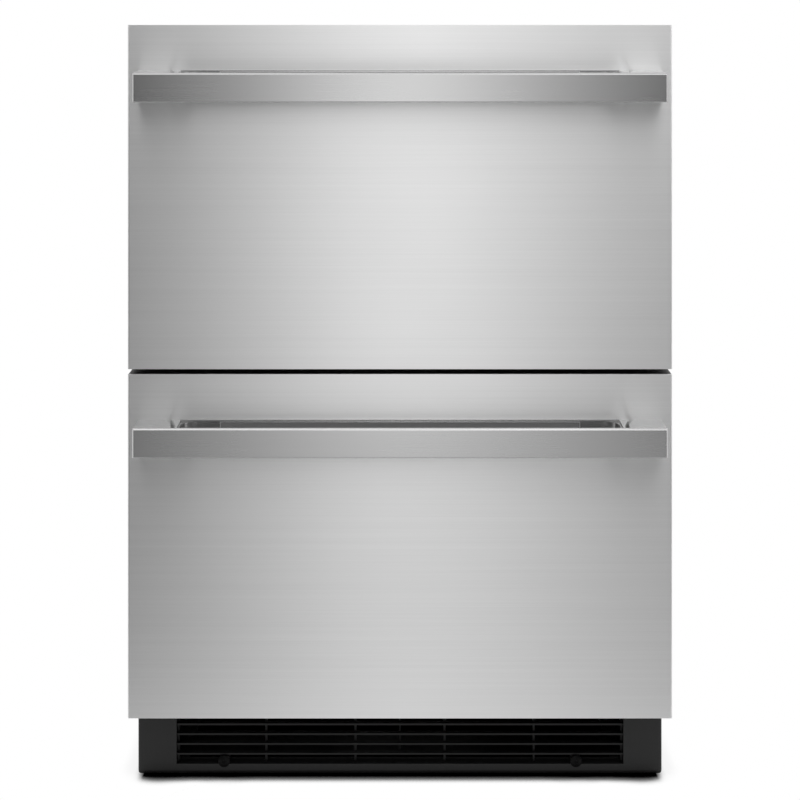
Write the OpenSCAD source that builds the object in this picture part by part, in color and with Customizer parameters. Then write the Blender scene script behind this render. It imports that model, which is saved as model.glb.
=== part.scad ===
// Undercounter drawer refrigerator: two insulated drawers under one another in a cabinet
// on a vented base. Millimetres, +Z up, the drawers open towards -Y. The origin lies on the
// floor, in the middle of the whole object's width and depth.

/* [Cabinet] */
// Width of the cabinet, its base and the drawer fronts
unit_w = 606; // [590:1:640]
// Depth of the cabinet box behind the gaskets
cab_d = 548; // [530:1:600]
// Height of the cabinet's underside above the floor
cab_z0 = 100; // [99:1:104]
// How far the cabinet's top lies below the upper front's top edge
cab_top_drop = 4.5; // [1:0.5:5]
// Thickness of the cabinet's sheet steel
sheet_t = 1; // [0.8:0.1:1.4]
// Thickness of the front frame's sheet
frame_t = 2; // [1.5:0.1:2.5]
// Foam thickness in the sides, the top and the floor
foam_t = 38; // [32:1:42]
// Foam thickness in the back
foam_back_t = 45; // [38:1:50]
// Wall of the inner liner
liner_t = 2.5; // [2:0.1:3]
// Corner radius of the inner liner
liner_r = 12; // [8:1:14]
// Height of the rail between the two drawers
mullion_h = 48; // [44:1:52]
// Depth of the rail between the two drawers
mullion_d = 38; // [25:1:60]
// Depth of the machine compartment
mc_d = 205; // [198:1:215]
// Height of the machine compartment's ceiling above the floor
mc_z1 = 190; // [186:1:200]

/* [Drawer fronts] */
// Height of the lower front's bottom edge above the floor
front_z0 = 97; // [96:0.5:98]
// Height of each drawer front
front_h = 383; // [375:1:395]
// Gap between the two fronts
front_gap = 5.5; // [4:0.5:7]
// Thickness of a front without its gasket
front_t = 48; // [42:1:55]
// Thickness of the stainless front sheet
skin_t = 1.2; // [0.8:0.1:1.5]
// Outer bend radius of the front sheet at its folded sides
skin_r = 2; // [1.6:0.1:3]
// Height of the black end cap at the front's top and bottom
cap_h = 5; // [3:0.5:8]
// How far the end cap lies behind the front sheet's edge
cap_recess = 0.6; // [0.3:0.1:1]
// Thickness of the inner panel
panel_t = 6; // [5.5:0.5:8]
// Corner radius of the inner panel
panel_r = 6; // [3:1:10]
// Thickness of the gasket between the front and the cabinet
gasket_t = 10; // [8:0.5:12]
// Width of the gasket
gasket_w = 13; // [11:0.5:14]
// Distance from the front's edge to the gasket
gasket_inset = 5; // [4.6:0.1:5.4]
// Depth of the groove that holds the gasket's dart
dart_d = 4; // [3:0.5:4.5]
// Width of the groove that holds the gasket's dart
dart_w = 3; // [2.5:0.5:4]

/* [Handles] */
// Width of the handle's front bar
handle_w = 585.5; // [560:0.5:588]
// Height of the handle's front bar
handle_h = 32.5; // [28:0.5:38]
// How far the bar stands out from the drawer front
handle_d = 38; // [34:1:42]
// Distance from the front's top edge down to the bar's top
handle_drop = 52; // [30:1:80]
// Thickness of the bar
bar_t = 5; // [4:0.5:6]
// Bevel along the bar's top and side edges
bar_bevel = 2; // [1:0.5:3]
// Bevel along the bar's bottom edge
bar_bevel_low = 1; // [0.5:0.5:2]
// How far an end block lies inside the bar's end
block_inset = 1; // [0.5:0.5:3]
// Width of an end block at the bar
block_w = 40; // [34:0.5:44]
// How far the tops of the end blocks and posts rise from the bar to the drawer front
block_rise = 1.2; // [0.5:0.1:2]
// Radius of an end block's inner side in plan
block_side_r = 72; // [60:1:90]
// Width of the dark slot between an end block and its tapered post
slot_w = 4.2; // [3:0.2:6]
// Width of the tapered post at the bar
post_w = 3.4; // [2.5:0.1:5]
// Gap between the tapered post and the rail's web
post_gap = 0.9; // [0.5:0.1:1.5]
// Thickness of the web that joins the rail to the bar
web_t = 1.6; // [1.2:0.1:3]
// Radius of the scoop from that web into the rail
scoop_r = 17; // [10:1:22]
// Thickness of the handle's back rail
rail_t = 4; // [3.5:0.5:6]
// How far the back rail rises above the bar
rail_rise = 1.6; // [0.5:0.1:2]
// Width of the knurled grip strip
grip_w = 400; // [300:5:420]
// Height of the knurled grip strip
grip_h = 24; // [18:1:26]
// Thickness of the knurled grip strip
grip_t = 2; // [1.6:0.1:2.4]
// Depth of the rail's recess that holds the grip strip
grip_seat = 0.8; // [0.5:0.1:1.2]
// Distance from the rail's top down to the grip strip
grip_drop = 1; // [0.6:0.1:2]
// Diameter of the shallow dimple in the top of an end block
dimple_dia = 11; // [8:0.5:14]
// Depth of that dimple
dimple_depth = 0.6; // [0.3:0.1:1]

/* [Drawer bins] */
// Wall of a drawer bin
bin_wall = 2.5; // [2:0.1:3]
// Floor thickness of a drawer bin
bin_floor_t = 3; // [2.5:0.1:4]
// Corner radius of a drawer bin in plan
bin_r = 30; // [20:1:40]
// How far a bin's rim reaches out
rim_out = 8.5; // [7.8:0.1:8.8]
// Thickness of a bin's rim
rim_t = 3; // [2.5:0.1:3.5]
// Height of the lip that hangs from the rim
rim_lip_h = 8; // [6:0.5:9]
// Distance from the bins' rear rims back to the evaporator cover
bin_rear_gap = 14.5; // [8:0.5:40]
// Distance from the liner's ceiling down to the upper bin's rim
upper_bin_drop = 62; // [50:1:90]
// Distance from the middle rail down to the lower bin's rim
lower_bin_drop = 14; // [10:1:40]
// Distance from a compartment's floor up to the bin
bin_floor_gap = 9; // [6:1:20]
// Distance from the liner's step up to the lower bin's rear floor
step_gap = 7; // [4:1:20]
// Number of ribs across a bin's floor
bin_ribs = 6; // [3:1:9]
// Thickness of the upper bin's divider
divider_t = 3; // [2:0.5:5]
// Distance from the bin's front rim back to the divider
divider_pos = 240; // [180:5:260]
// Number of windows in the divider
divider_windows = 5; // [3:1:7]
// Height of the divider's windows
divider_window_h = 40; // [20:1:60]
// Distance from one window of the divider to the next, and from the last to the edge
divider_web = 24; // [16:1:32]
// Length of the divider's hooks along the rims
hook_len = 14; // [10:1:24]
// Thickness of the divider's hooks
hook_t = 3; // [2:0.5:4]

/* [Drawer slides] */
// Height of a slide's cabinet member
slide_h = 45; // [42:1:48]
// Thickness of a closed slide from the liner to the drawer member's face
slide_w = 12.2; // [12:0.1:12.6]
// Sheet thickness of the slide members
slide_t = 1.2; // [1:0.1:1.4]
// Distance from the bin's rear rim forwards to the slides' rear ends
slide_end_gap = 1; // [0.5:0.5:6]
// Distance from the cabinet's front to the slides
slide_setback = 4; // [3:1:8]
// Running gap between two slide members
slide_gap = 0.7; // [0.5:0.1:0.9]
// Distance from the bin's rim down to the slide's middle
slide_drop = 35; // [33:0.5:40]
// Width of the tab that fastens a drawer member to the front's inner panel
tab_w = 34; // [25:1:40]
// Height of that tab below the slide's middle
tab_h = 30; // [20:1:40]

/* [Base] */
// Distance from the drawer fronts' face back to the kick panel
kick_setback = 80; // [70:1:95]
// Thickness of the kick panel
kick_t = 14; // [12:1:18]
// Gap between the kick panel and the floor
kick_floor_gap = 0.8; // [0.5:0.1:3]
// Radius of the kick panel's bottom front edge
kick_edge_r = 5.5; // [4:0.5:9]
// Corner radius of the kick panel seen from the front
kick_corner_r = 6; // [4:0.5:8]
// Width of the grille opening
vent_w = 517; // [480:1:530]
// Height of the grille opening's bottom above the floor
vent_z0 = 13.4; // [12.5:0.1:14]
// Height of the grille opening
vent_h = 79; // [72:0.5:82]
// Number of slats
slat_n = 6; // [4:1:6]
// Height of the lowest slat's middle above the opening's bottom
slat_first = 10.8; // [10:0.2:12]
// Distance from slat to slat
slat_pitch = 11.36; // [10:0.1:12]
// Thickness of a slat
slat_t = 2; // [1.5:0.1:3]
// Depth of a slat
slat_d = 8; // [5:0.5:10]
// How far the slats lie behind the kick panel's face
slat_inset = 2; // [1:0.5:3]
// Distance from one upright grille rib to the next
grille_rib_pitch = 103.5; // [90:0.5:104]
// Width of an upright grille rib
grille_rib_w = 2.3; // [1.5:0.1:4]
// Distance between the two grille screws
screw_span = 407; // [350:1:410]
// Height of the grille screws above the opening's bottom
screw_rise = 3.3; // [3:0.1:4]
// Diameter of a grille screw's head
screw_head_dia = 13.3; // [10:0.1:14]
// Diameter of a grille screw's shank
screw_dia = 4.5; // [3.5:0.1:5]
// Height of the base frame's underside above the floor
base_z0 = 14; // [13.5:0.5:16]
// Sheet thickness of the base frame
base_t = 2; // [1.5:0.1:2.5]
// Width of the flange along each side of the base
base_flange_w = 58; // [50:1:62]

/* [Levelling legs] */
// Diameter of a leg's threaded stud
stud_dia = 10; // [8:0.5:12]
// Diameter of a leg's foot
foot_dia = 40; // [30:1:46]
// Height of a leg's foot
foot_h = 7; // [5:0.5:7.5]
// Distance from the base's side to a leg's axis
leg_inset = 31; // [26:1:34]
// Distance from the kick panel's back, and from the base's rear, to a leg's axis
leg_setback = 36; // [30:1:50]
// How far a leg screws out
leg_travel = 25; // [15:1:26]

/* [Machine compartment] */
// Radius of the compressor's can
can_r = 70; // [60:1:74]
// Height of the compressor's can
can_h = 132; // [115:1:134]
// Distance from the cabinet's side to the compressor's axis
can_inset = 151; // [138:1:158]
// Height of the rubber mounts under the compressor
mount_h = 9; // [7:0.5:10]
// Distance from the cabinet's side to the condenser's middle
condenser_inset = 123; // [108:1:133]
// Distance from the condenser's return bends back to the lines behind them
condenser_gap = 3.5; // [2:0.5:8]
// Height of the condenser's fins
condenser_h = 126; // [120:1:128]
// Number of the condenser's fins
condenser_fins = 16; // [10:1:20]
// Radius of the condenser fan
fan_r = 62; // [50:1:64]
// Distance from the condenser's middle to the fan shroud's plate
shroud_gap = 48; // [42:1:55]
// Distance from the shroud's plate to the back of the motor's bracket
bracket_reach = 68; // [66:1:76]
// Width of the drain pan
drain_pan_w = 80; // [60:1:88]
// Height of the drain pan
drain_pan_h = 16; // [10:1:20]
// Radius of the refrigerant tube
tube_r = 3.2; // [2.8:0.1:3.6]
// Radius of the filter drier
drier_r = 9; // [7:0.5:11]

/* [Cold side] */
// Depth of the space behind the evaporator cover
evap_space = 60; // [56:1:64]
// Height of the evaporator's middle above the rail between the drawers
evap_rise = 120; // [110:1:130]
// Length of the evaporator's fin block
evap_len = 330; // [280:5:350]
// Height of the evaporator's fins
evap_h = 122; // [120:1:130]
// Number of the evaporator's fins
evap_fins = 24; // [12:1:28]
// Radius of the evaporator fan
evap_fan_r = 44; // [36:1:46]
// Wall of the evaporator cover
cover_t = 2; // [1.5:0.1:3]
// Width of the control housing
control_w = 220; // [160:2:260]
// Height of the control housing
control_h = 24; // [22:1:26]
// Depth of the control housing
control_d = 34; // [28:1:40]
// Width of a push button
button_w = 20; // [14:1:24]
// Height of a push button
button_h = 9; // [7:0.5:11]
// How far a push button stands out of its housing
button_out = 2; // [1.8:0.1:3]
// How far a push button moves in
button_travel = 1.5; // [1:0.1:1.7]
// Width of the control housing's display window
display_w = 56; // [40:1:60]
// Height of the control housing's display window
display_h = 12; // [8:1:14]
// Length of the interior light's lens
light_w = 300; // [200:5:400]
// Depth of the interior light's lens
light_d = 26; // [20:1:32]
// Height of the interior light's lens
light_h = 8; // [6:0.5:10]
// Distance from the cabinet's front back to the interior light's lens
light_setback = 70; // [60:1:100]

/* [Fits] */
// Gap between parts that move past or seat in one another
fit = 0.3; // [0.2:0.05:0.4]
// Radial running clearance of a shaft or stud in its bore
run_fit = 0.05; // [0.02:0.01:0.09]
// Radius of the cord's bore in its gland
cord_r = 4.2; // [3.5:0.1:5]
// How far the gland stands out behind the cabinet
gland_out = 6; // [5:0.5:10]

/* [Hidden] */
$fn = 48;
eps = 1;

// Depth positions
total_d = handle_d + front_t + gasket_t + cab_d + gland_out;
front_y = handle_d - total_d / 2;
panel_y0 = front_y + front_t - panel_t;
panel_y1 = front_y + front_t;
cab_y0 = panel_y1 + gasket_t;
shell_y0 = cab_y0 + frame_t;
cab_y1 = cab_y0 + cab_d;
half_w = unit_w / 2;

// Heights
drawer_pitch = front_h + front_gap;
cab_z1 = front_z0 + drawer_pitch + front_h - cab_top_drop;
wall_t = sheet_t + foam_t + liner_t;
cav_x = half_w - wall_t;
cav_y1 = cab_y1 - sheet_t - foam_back_t - liner_t;
cav_z0 = cab_z0 + wall_t;
cav_z1 = cab_z1 - wall_t;
mullion_z0 = front_z0 + front_h + front_gap / 2 - mullion_h / 2;
mullion_z1 = mullion_z0 + mullion_h;
mc_y0 = cab_y1 - mc_d;
mc_y = (mc_y0 + cab_y1) / 2;
step_y0 = mc_y0 - wall_t;
step_z1 = mc_z1 + wall_t;

// Drawers
bin_y0 = panel_y1 + fit;
bin_d = cav_y1 - evap_space - bin_rear_gap - bin_y0;
bin_x = cav_x - slide_w - slide_t - 2 * fit;
upper_rim = cav_z1 - upper_bin_drop;
lower_rim = mullion_z0 - lower_bin_drop;
upper_floor = mullion_z1 + bin_floor_gap;
lower_floor = cav_z0 + bin_floor_gap;
lower_rear_floor = step_z1 + step_gap;
lower_step_y = step_y0 - bin_floor_gap;
slide_y0 = cab_y0 + slide_setback;
slide_len = bin_y0 + bin_d - slide_end_gap - slide_y0;

// Base
kick_y0 = front_y + kick_setback;
kick_y1 = kick_y0 + kick_t;
kick_z1 = cab_z0 - fit;
leg_x = half_w - leg_inset;
leg_front_y = kick_y1 + leg_setback;
leg_rear_y = cab_y1 - leg_setback;
pan_z = base_z0 + base_t;
screw_z = vent_z0 + screw_rise;
grille_flange_t = 2;
boss_h = 14;
cover_sheet = 1.2;

// Coils
coil_rows = 6;
coil_row = 20;
coil_col = 22;
coil_out = 12;
coil_top = (coil_rows - 1) / 2 * coil_row;

// Compressor
mount_x = 76;
mount_y = 56;
mount_neck_r = 5;
plate_t = 2.5;
can_z0 = pan_z + mount_h + plate_t;
stub_len = 10;
can_x = half_w - can_inset;
stub_x = can_x - can_r - stub_len;
stub_y = 18;
stub_z = can_z0 + can_h * 0.45;

// Condenser and its fan
condenser_x = half_w - condenser_inset;
condenser_top_gap = 6;
condenser_z = mc_z1 - condenser_top_gap - condenser_h / 2;
shroud_x = condenser_x - shroud_gap;
lines_y = cab_y1 - cover_sheet - drier_r - fit;
condenser_reach = lines_y - tube_r - condenser_gap - mc_y;
condenser_len = 2 * (condenser_reach - coil_out - coil_col / 2 - tube_r);
fan_z = (pan_z + mc_z1) / 2;
motor_r = 26;
motor_len = 38;
motor_nose = 3;
shaft_r = 3;
shaft_in = 14;
blade_hub_len = 16;
bracket_t = 2;
bracket_x = -shroud_x + bracket_reach;
motor_x1 = bracket_x - bracket_t;

// Cord gland
gland_inset = 46;
gland_rise = 50;
gland_wall = 3;
gland_x = half_w - gland_inset;
gland_z = pan_z + gland_rise;
gland_neck_r = cord_r + gland_wall;

// Evaporator and its fan
evap_y = cav_y1 - evap_space / 2 + cover_t;
evap_z = mullion_z1 + evap_rise;
evap_fan_gap = 14;
evap_fan_z = evap_z + evap_h / 2 + evap_fan_gap + evap_fan_r;
evap_motor_len = 16;

// Refrigerant lines
line_bend = 9;
suction_x = half_w - base_flange_w;
suction_y = cab_y1 - sheet_t - foam_back_t / 2;
suction_z = evap_z + coil_top;

// Slide sections, from the cabinet member inwards
outer_half = slide_h / 2;
middle_half = outer_half - slide_t - slide_gap;
inner_half = middle_half - slide_t - slide_gap;
slide_lip = 2.2;
upper_slide_z = upper_rim - slide_drop;
lower_slide_z = lower_rim - slide_drop;

// Handle
bar_y0 = front_y - handle_d;
bar_y1 = bar_y0 + bar_t;
block_x1 = handle_w / 2 - block_inset;
block_x0 = block_x1 - block_w;
post_x0 = block_x0 - slot_w - post_w;
web_x1 = post_x0 - post_gap;
rail_y0 = front_y - rail_t;
grip_z0 = handle_h + rail_rise - grip_drop - grip_h;

// Controls
control_setback = 6;
control_y = cab_y0 + control_setback;
control_z = cav_z1 - control_h / 2;
button_pitch = 34;
button_inset = 18;
button_corner = 2;

// Colours
steel_c = [0.72, 0.72, 0.71];
bright_c = [0.82, 0.82, 0.82];
black_c = [0.12, 0.12, 0.12];
dark_c = [0.04, 0.04, 0.04];
white_c = [0.92, 0.92, 0.9];
zinc_c = [0.66, 0.68, 0.7];
copper_c = [0.72, 0.42, 0.26];
foam_c = [0.88, 0.8, 0.55];
grey_c = [0.35, 0.36, 0.38];
lens_c = [0.95, 0.97, 1, 0.6];

// ---- Shared shapes -------------------------------------------------------------------

// A box from its low corner to its high corner.
module span(low, high) {
  translate(low) cube(high - low);
}

// Extrusions of a flat shape: drawn in XZ, YZ or XY, from a start over a length.
module along_y(start, length) {
  translate([0, start + length, 0]) rotate([90, 0, 0]) linear_extrude(length) children();
}

module along_x(start, length) {
  translate([start, 0, 0]) rotate([90, 0, 90]) linear_extrude(length) children();
}

module along_z(start, length) {
  translate([0, 0, start]) linear_extrude(length) children();
}

// A flat rectangle between two corners, its corners rounded by r.
module rounded(low, high, r) {
  translate(low + [r, 0]) square(high - low - [2 * r, 0]);
  translate(low + [0, r]) square(high - low - [0, 2 * r]);
  for (x = [low[0] + r, high[0] - r], y = [low[1] + r, high[1] - r]) {
    translate([x, y]) circle(r);
  }
}

// The children and their mirror image across the YZ plane.
module both_sides() {
  children();
  mirror([1, 0, 0]) children();
}

// A cylinder along X or along Y.
module rod_x(start, length, r) {
  translate([start, 0, 0]) rotate([0, 90, 0]) cylinder(h = length, r = r);
}

module rod_y(start, length, r) {
  translate([0, start + length, 0]) rotate([90, 0, 0]) cylinder(h = length, r = r);
}

// A tube run along axis-parallel points, with a round elbow at each turn.
module pipe(points, r, bend) {
  last = len(points) - 1;
  for (i = [0:last - 1]) {
    run = points[i + 1] - points[i];
    way = run / norm(run);
    trim_in = i > 0 ? bend : 0;
    trim_out = i < last - 1 ? bend : 0;
    translate(points[i] + way * trim_in) aim(way) cylinder(h = norm(run) - trim_in - trim_out, r = r);
    if (i < last - 1) {
      turn = points[i + 2] - points[i + 1];
      elbow(points[i + 1], way, turn / norm(turn), r, bend);
    }
  }
}

// Turns +Z to point along a unit vector.
module aim(way) {
  side = cross([0, 0, 1], way);
  if (norm(side) > 0) rotate(a = 90, v = side) children();
  else if (way[2] < 0) rotate([180, 0, 0]) children();
  else children();
}

// A quarter bend at a corner, from direction a into direction b.
module elbow(corner, a, b, r, bend) {
  centre = corner - a * bend + b * bend;
  w = cross(-b, a);
  multmatrix([
    [-b[0], a[0], w[0], centre[0]],
    [-b[1], a[1], w[1], centre[1]],
    [-b[2], a[2], w[2], centre[2]],
    [0, 0, 0, 1]
  ]) rotate_extrude(angle = 90) translate([bend, 0]) circle(r);
}

// ---- Cabinet -------------------------------------------------------------------------

// The cold space inside the liner, grown by g, stepped over the machine compartment.
module cavity(g) {
  difference() {
    along_y(shell_y0, cav_y1 + g - shell_y0)
      rounded([-cav_x - g, cav_z0 - g], [cav_x + g, cav_z1 + g], liner_r + g);
    span([-half_w, step_y0 + g, cab_z0], [half_w, cab_y1, step_z1 - g]);
  }
}

// The tube duct through the back foam, from the machine compartment to the evaporator.
module suction_duct() {
  pipe([
    [suction_x, suction_y, mc_z1 - eps],
    [suction_x, suction_y, suction_z],
    [suction_x, cav_y1 - eps, suction_z]
  ], tube_r + fit, line_bend);
}

module cabinet_wrapper() {
  color(grey_c) difference() {
    span([-half_w, shell_y0, cab_z0], [half_w, cab_y1, cab_z1]);
    difference() {
      span([-half_w + sheet_t, shell_y0 - eps, cab_z0 + sheet_t],
        [half_w - sheet_t, cab_y1 + eps, cab_z1 - sheet_t]);
      span([-half_w, mc_y0 - sheet_t, cab_z0], [half_w, cab_y1 + 2 * eps, mc_z1 + sheet_t]);
    }
    span([-half_w + sheet_t, mc_y0, cab_z0 - eps], [half_w - sheet_t, cab_y1 + eps, mc_z1]);
    suction_duct();
  }
}

// The back sheet, with two broad pressed fields that stiffen it.
module back_panel() {
  bead_x0 = 30;
  bead_h = 3;
  margin = 60;
  z0 = mc_z1 + sheet_t;
  color(zinc_c) {
    span([-half_w + sheet_t, cab_y1 - sheet_t, z0], [half_w - sheet_t, cab_y1, cab_z1 - sheet_t]);
    both_sides() along_y(cab_y1, bead_h)
      rounded([bead_x0, z0 + margin], [half_w - margin, cab_z1 - margin], margin / 3);
  }
}

module cabinet_foam() {
  color(foam_c) difference() {
    span([-half_w + sheet_t, shell_y0, cab_z0 + sheet_t],
      [half_w - sheet_t, cab_y1 - sheet_t, cab_z1 - sheet_t]);
    span([-half_w, mc_y0 - sheet_t, cab_z0], [half_w, cab_y1, mc_z1 + sheet_t]);
    cavity(liner_t);
    suction_duct();
  }
}

module inner_liner() {
  color(white_c) difference() {
    cavity(liner_t);
    cavity_air();
    suction_duct();
  }
}

// The cold space, open at the front.
module cavity_air() {
  difference() {
    along_y(shell_y0 - eps, cav_y1 - shell_y0 + eps)
      rounded([-cav_x, cav_z0], [cav_x, cav_z1], liner_r);
    span([-half_w, step_y0, cab_z0], [half_w, cab_y1, step_z1]);
  }
}

// The face that the gaskets close on, with the rail between the drawers.
module front_frame() {
  color(steel_c) {
    along_y(cab_y0, frame_t) difference() {
      rounded([-half_w, cab_z0], [half_w, cab_z1], frame_t);
      rounded([-cav_x, cav_z0], [cav_x, mullion_z0], liner_r);
      rounded([-cav_x, mullion_z1], [cav_x, cav_z1], liner_r);
    }
    along_y(shell_y0, mullion_d) rounded([-cav_x, mullion_z0], [cav_x, mullion_z1], frame_t);
  }
}

// ---- Base ----------------------------------------------------------------------------

module base_frame() {
  boss_r = stud_dia;
  baffle_y0 = kick_y1 + 2 * base_t + slat_d;
  color(black_c) difference() {
    union() {
      both_sides() {
        span([half_w - base_t, kick_y1, base_z0], [half_w, cab_y1, cab_z0]);
        span([half_w - base_flange_w, kick_y1 + grille_flange_t + fit, base_z0], [half_w, cab_y1, pan_z]);
        for (y = [leg_front_y, leg_rear_y]) {
          translate([leg_x, y, pan_z - base_t / 2]) cylinder(h = boss_h + base_t / 2, r = boss_r);
        }
      }
      span([-half_w, mc_y0, base_z0], [half_w, cab_y1, pan_z]);
      span([-half_w, kick_y1 + base_t + slat_d, base_z0], [half_w, baffle_y0 + base_flange_w, pan_z]);
      span([-base_t / 2, baffle_y0, base_z0], [base_t / 2, mc_y0 + base_t, cab_z0]);
    }
    for (x = [-leg_x, leg_x], y = [leg_front_y, leg_rear_y]) {
      translate([x, y, base_z0 - eps]) cylinder(h = boss_h + base_t + 2 * eps, r = stud_dia / 2 + run_fit);
    }
  }
}

// The black front of the base: rounded along its bottom edge, with the grille opening.
module kick_panel() {
  side_r = 3;
  color(black_c) difference() {
    intersection() {
      along_y(kick_y0, kick_t) {
        rounded([-half_w, kick_floor_gap], [half_w, kick_z1], kick_corner_r);
        translate([-half_w, cab_z0 / 2]) square([unit_w, kick_z1 - cab_z0 / 2]);
      }
      along_x(-half_w, unit_w) {
        rounded([kick_y0, kick_floor_gap], [kick_y1 + 2 * kick_edge_r, kick_z1], kick_edge_r);
        translate([kick_y0, cab_z0 / 2]) square([kick_t, kick_z1 - cab_z0 / 2]);
      }
      along_z(0, cab_z0) rounded([-half_w, kick_y0], [half_w, kick_y1 + 2 * side_r], side_r);
    }
    span([-vent_w / 2, kick_y0 - eps, vent_z0], [vent_w / 2, kick_y1 + eps, vent_z0 + vent_h]);
  }
}

// Slats across the opening, upright ribs behind them, and a flange behind the panel.
module kick_grille() {
  y0 = kick_y0 + slat_inset;
  half = vent_w / 2 - fit;
  lap = 8;
  hold = 1.5;
  flange_t = grille_flange_t;
  boss_r = screw_head_dia / 2 - 2 * fit;
  rib_x = [for (i = [-1.5:1:1.5]) i * grille_rib_pitch];
  color(dark_c) difference() {
    union() {
      for (i = [0:slat_n - 1]) {
        z = vent_z0 + slat_first + i * slat_pitch;
        span([-half, y0, z - slat_t / 2], [half, y0 + slat_d, z + slat_t / 2]);
      }
      for (x = concat(rib_x, [-half + grille_rib_w / 2, half - grille_rib_w / 2])) {
        span([x - grille_rib_w / 2, y0 + slat_d - slat_t, vent_z0 + fit],
          [x + grille_rib_w / 2, kick_y1 + flange_t, vent_z0 + vent_h - fit]);
      }
      along_y(kick_y1, flange_t) difference() {
        rounded([-half - lap, vent_z0 - lap + flange_t], [half + lap, kick_z1 - flange_t], flange_t);
        translate([-half + grille_rib_w, vent_z0 + fit + hold])
          square([2 * (half - grille_rib_w), vent_h - 2 * (fit + hold)]);
      }
      intersection() {
        both_sides() translate([screw_span / 2, 0, screw_z]) rod_y(kick_y0, kick_t + flange_t, boss_r);
        span([-half, kick_y0, vent_z0 + fit], [half, kick_y1 + flange_t, cab_z0]);
      }
    }
    both_sides() translate([screw_span / 2, 0, screw_z])
      rod_y(kick_y0 - eps, kick_t + flange_t + 2 * eps, screw_dia / 2 + fit / 2);
  }
}

// Two round-headed screws with a cross recess.
module grille_screws() {
  head_t = 3;
  slot = [1.2, 5.5];
  slot_depth = 1.4;
  color(dark_c) both_sides() translate([screw_span / 2, 0, screw_z]) difference() {
    union() {
      intersection() {
        rod_y(kick_y0 - head_t, head_t, screw_head_dia / 2);
        translate([0, kick_y0 - head_t + screw_head_dia, 0]) sphere(r = screw_head_dia);
      }
      rod_y(kick_y0 - eps / 2, kick_t, screw_dia / 2);
    }
    for (a = [0, 90]) rotate([0, a, 0]) {
      translate([-slot[0] / 2, kick_y0 - head_t - eps, -slot[1] / 2])
        cube([slot[0], slot_depth + eps, slot[1]]);
    }
  }
}

module leg(side, y) {
  hex_flats = 1.7 * stud_dia;
  hex_r = hex_flats / sqrt(3);
  chamfer = 1.5;
  stud_top = pan_z + boss_h + leg_travel;
  color(zinc_c) translate([side * leg_x, y, 0]) {
    cylinder(h = foot_h - chamfer, r = foot_dia / 2);
    translate([0, 0, foot_h - chamfer]) {
      cylinder(h = chamfer, r1 = foot_dia / 2, r2 = foot_dia / 2 - chamfer);
      cylinder(h = base_z0 - fit - foot_h + chamfer, r = hex_r, $fn = 6);
    }
    translate([0, 0, foot_h]) cylinder(h = stud_top - foot_h, r = stud_dia / 2);
  }
}

// ---- Machine compartment ---------------------------------------------------------------

// The rear cover: one sheet with three columns of air slots and a hole for the cord gland.
module rear_cover() {
  cols = 3;
  rows = 9;
  slot_w = 120;
  slot_h = 5;
  pitch_x = 150;
  pitch_z = 15;
  x0 = -(cols - 1) / 2 * pitch_x - 25;
  color(zinc_c) along_y(cab_y1 - cover_sheet, cover_sheet) difference() {
    translate([-half_w + base_t + fit, pan_z]) square([unit_w - 2 * base_t - 2 * fit, mc_z1 - pan_z - fit]);
    for (i = [0:cols - 1], j = [0:rows - 1]) {
      translate([x0 + i * pitch_x - slot_w / 2, pan_z + pitch_z * (j + 1.5)]) square([slot_w, slot_h]);
    }
    translate([gland_x, gland_z]) circle(gland_neck_r + fit);
  }
}

// The cord's gland: a flange outside, a nut inside, and a plain bore.
module cord_gland() {
  flange_r = gland_neck_r + 4;
  nut_t = 5;
  tail = 3;
  color(dark_c) translate([gland_x, 0, gland_z]) difference() {
    union() {
      rod_y(cab_y1, gland_out - tail, flange_r);
      rod_y(cab_y1 + gland_out - tail - eps / 2, tail + eps / 2, gland_neck_r);
      rod_y(cab_y1 - cover_sheet - nut_t, gland_out + nut_t, gland_neck_r);
      translate([0, cab_y1 - cover_sheet, 0]) rotate([90, 0, 0]) cylinder(h = nut_t, r = flange_r, $fn = 6);
    }
    rod_y(cab_y1 - cover_sheet - nut_t - eps, gland_out + nut_t + cover_sheet + 2 * eps, cord_r);
  }
}

// Where the compressor's four rubber mounts stand.
module at_mounts() {
  for (x = [-1, 1], y = [-1, 1]) translate([can_x + x * mount_x, mc_y + y * mount_y, 0]) children();
}

module compressor() {
  ear = 14;
  dome_r = can_r / 2;
  seam = 3;
  seam_out = 2;
  seam_rise = 0.58 * can_h;
  box = [46, 20, 48];
  box_gap = 6;
  color(dark_c) {
    along_z(can_z0 - plate_t, plate_t) translate([can_x, mc_y]) difference() {
      rounded([-mount_x - ear, -mount_y - ear], [mount_x + ear, mount_y + ear], ear);
      for (x = [-mount_x, mount_x], y = [-mount_y, mount_y]) {
        translate([x, y]) circle(mount_neck_r + fit);
      }
    }
    translate([can_x, mc_y, can_z0 - plate_t / 2]) {
      rotate_extrude() intersection() {
        rounded([-can_r, 0], [can_r, can_h], dome_r);
        square([can_r + eps, can_h]);
      }
      translate([0, 0, seam_rise]) cylinder(h = seam, r = can_r + seam_out);
    }
    for (s = [-1, 1]) translate([0, mc_y + s * stub_y, stub_z]) rod_x(stub_x, can_r, tube_r);
    span([can_x - box[0] / 2, mc_y0 + box_gap, stub_z - box[2] / 2],
      [can_x + box[0] / 2, mc_y - can_r + box[1], stub_z + box[2] / 2]);
  }
}

module compressor_mounts() {
  collar_r = 11;
  cap_t = 3;
  cap_out = 3;
  color(dark_c) at_mounts() {
    translate([0, 0, pan_z]) cylinder(h = mount_h, r = collar_r);
    translate([0, 0, pan_z + mount_h - eps]) cylinder(h = plate_t + 2 * eps, r = mount_neck_r);
    translate([0, 0, pan_z + mount_h + plate_t]) cylinder(h = cap_t, r = mount_neck_r + cap_out);
  }
}

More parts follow.
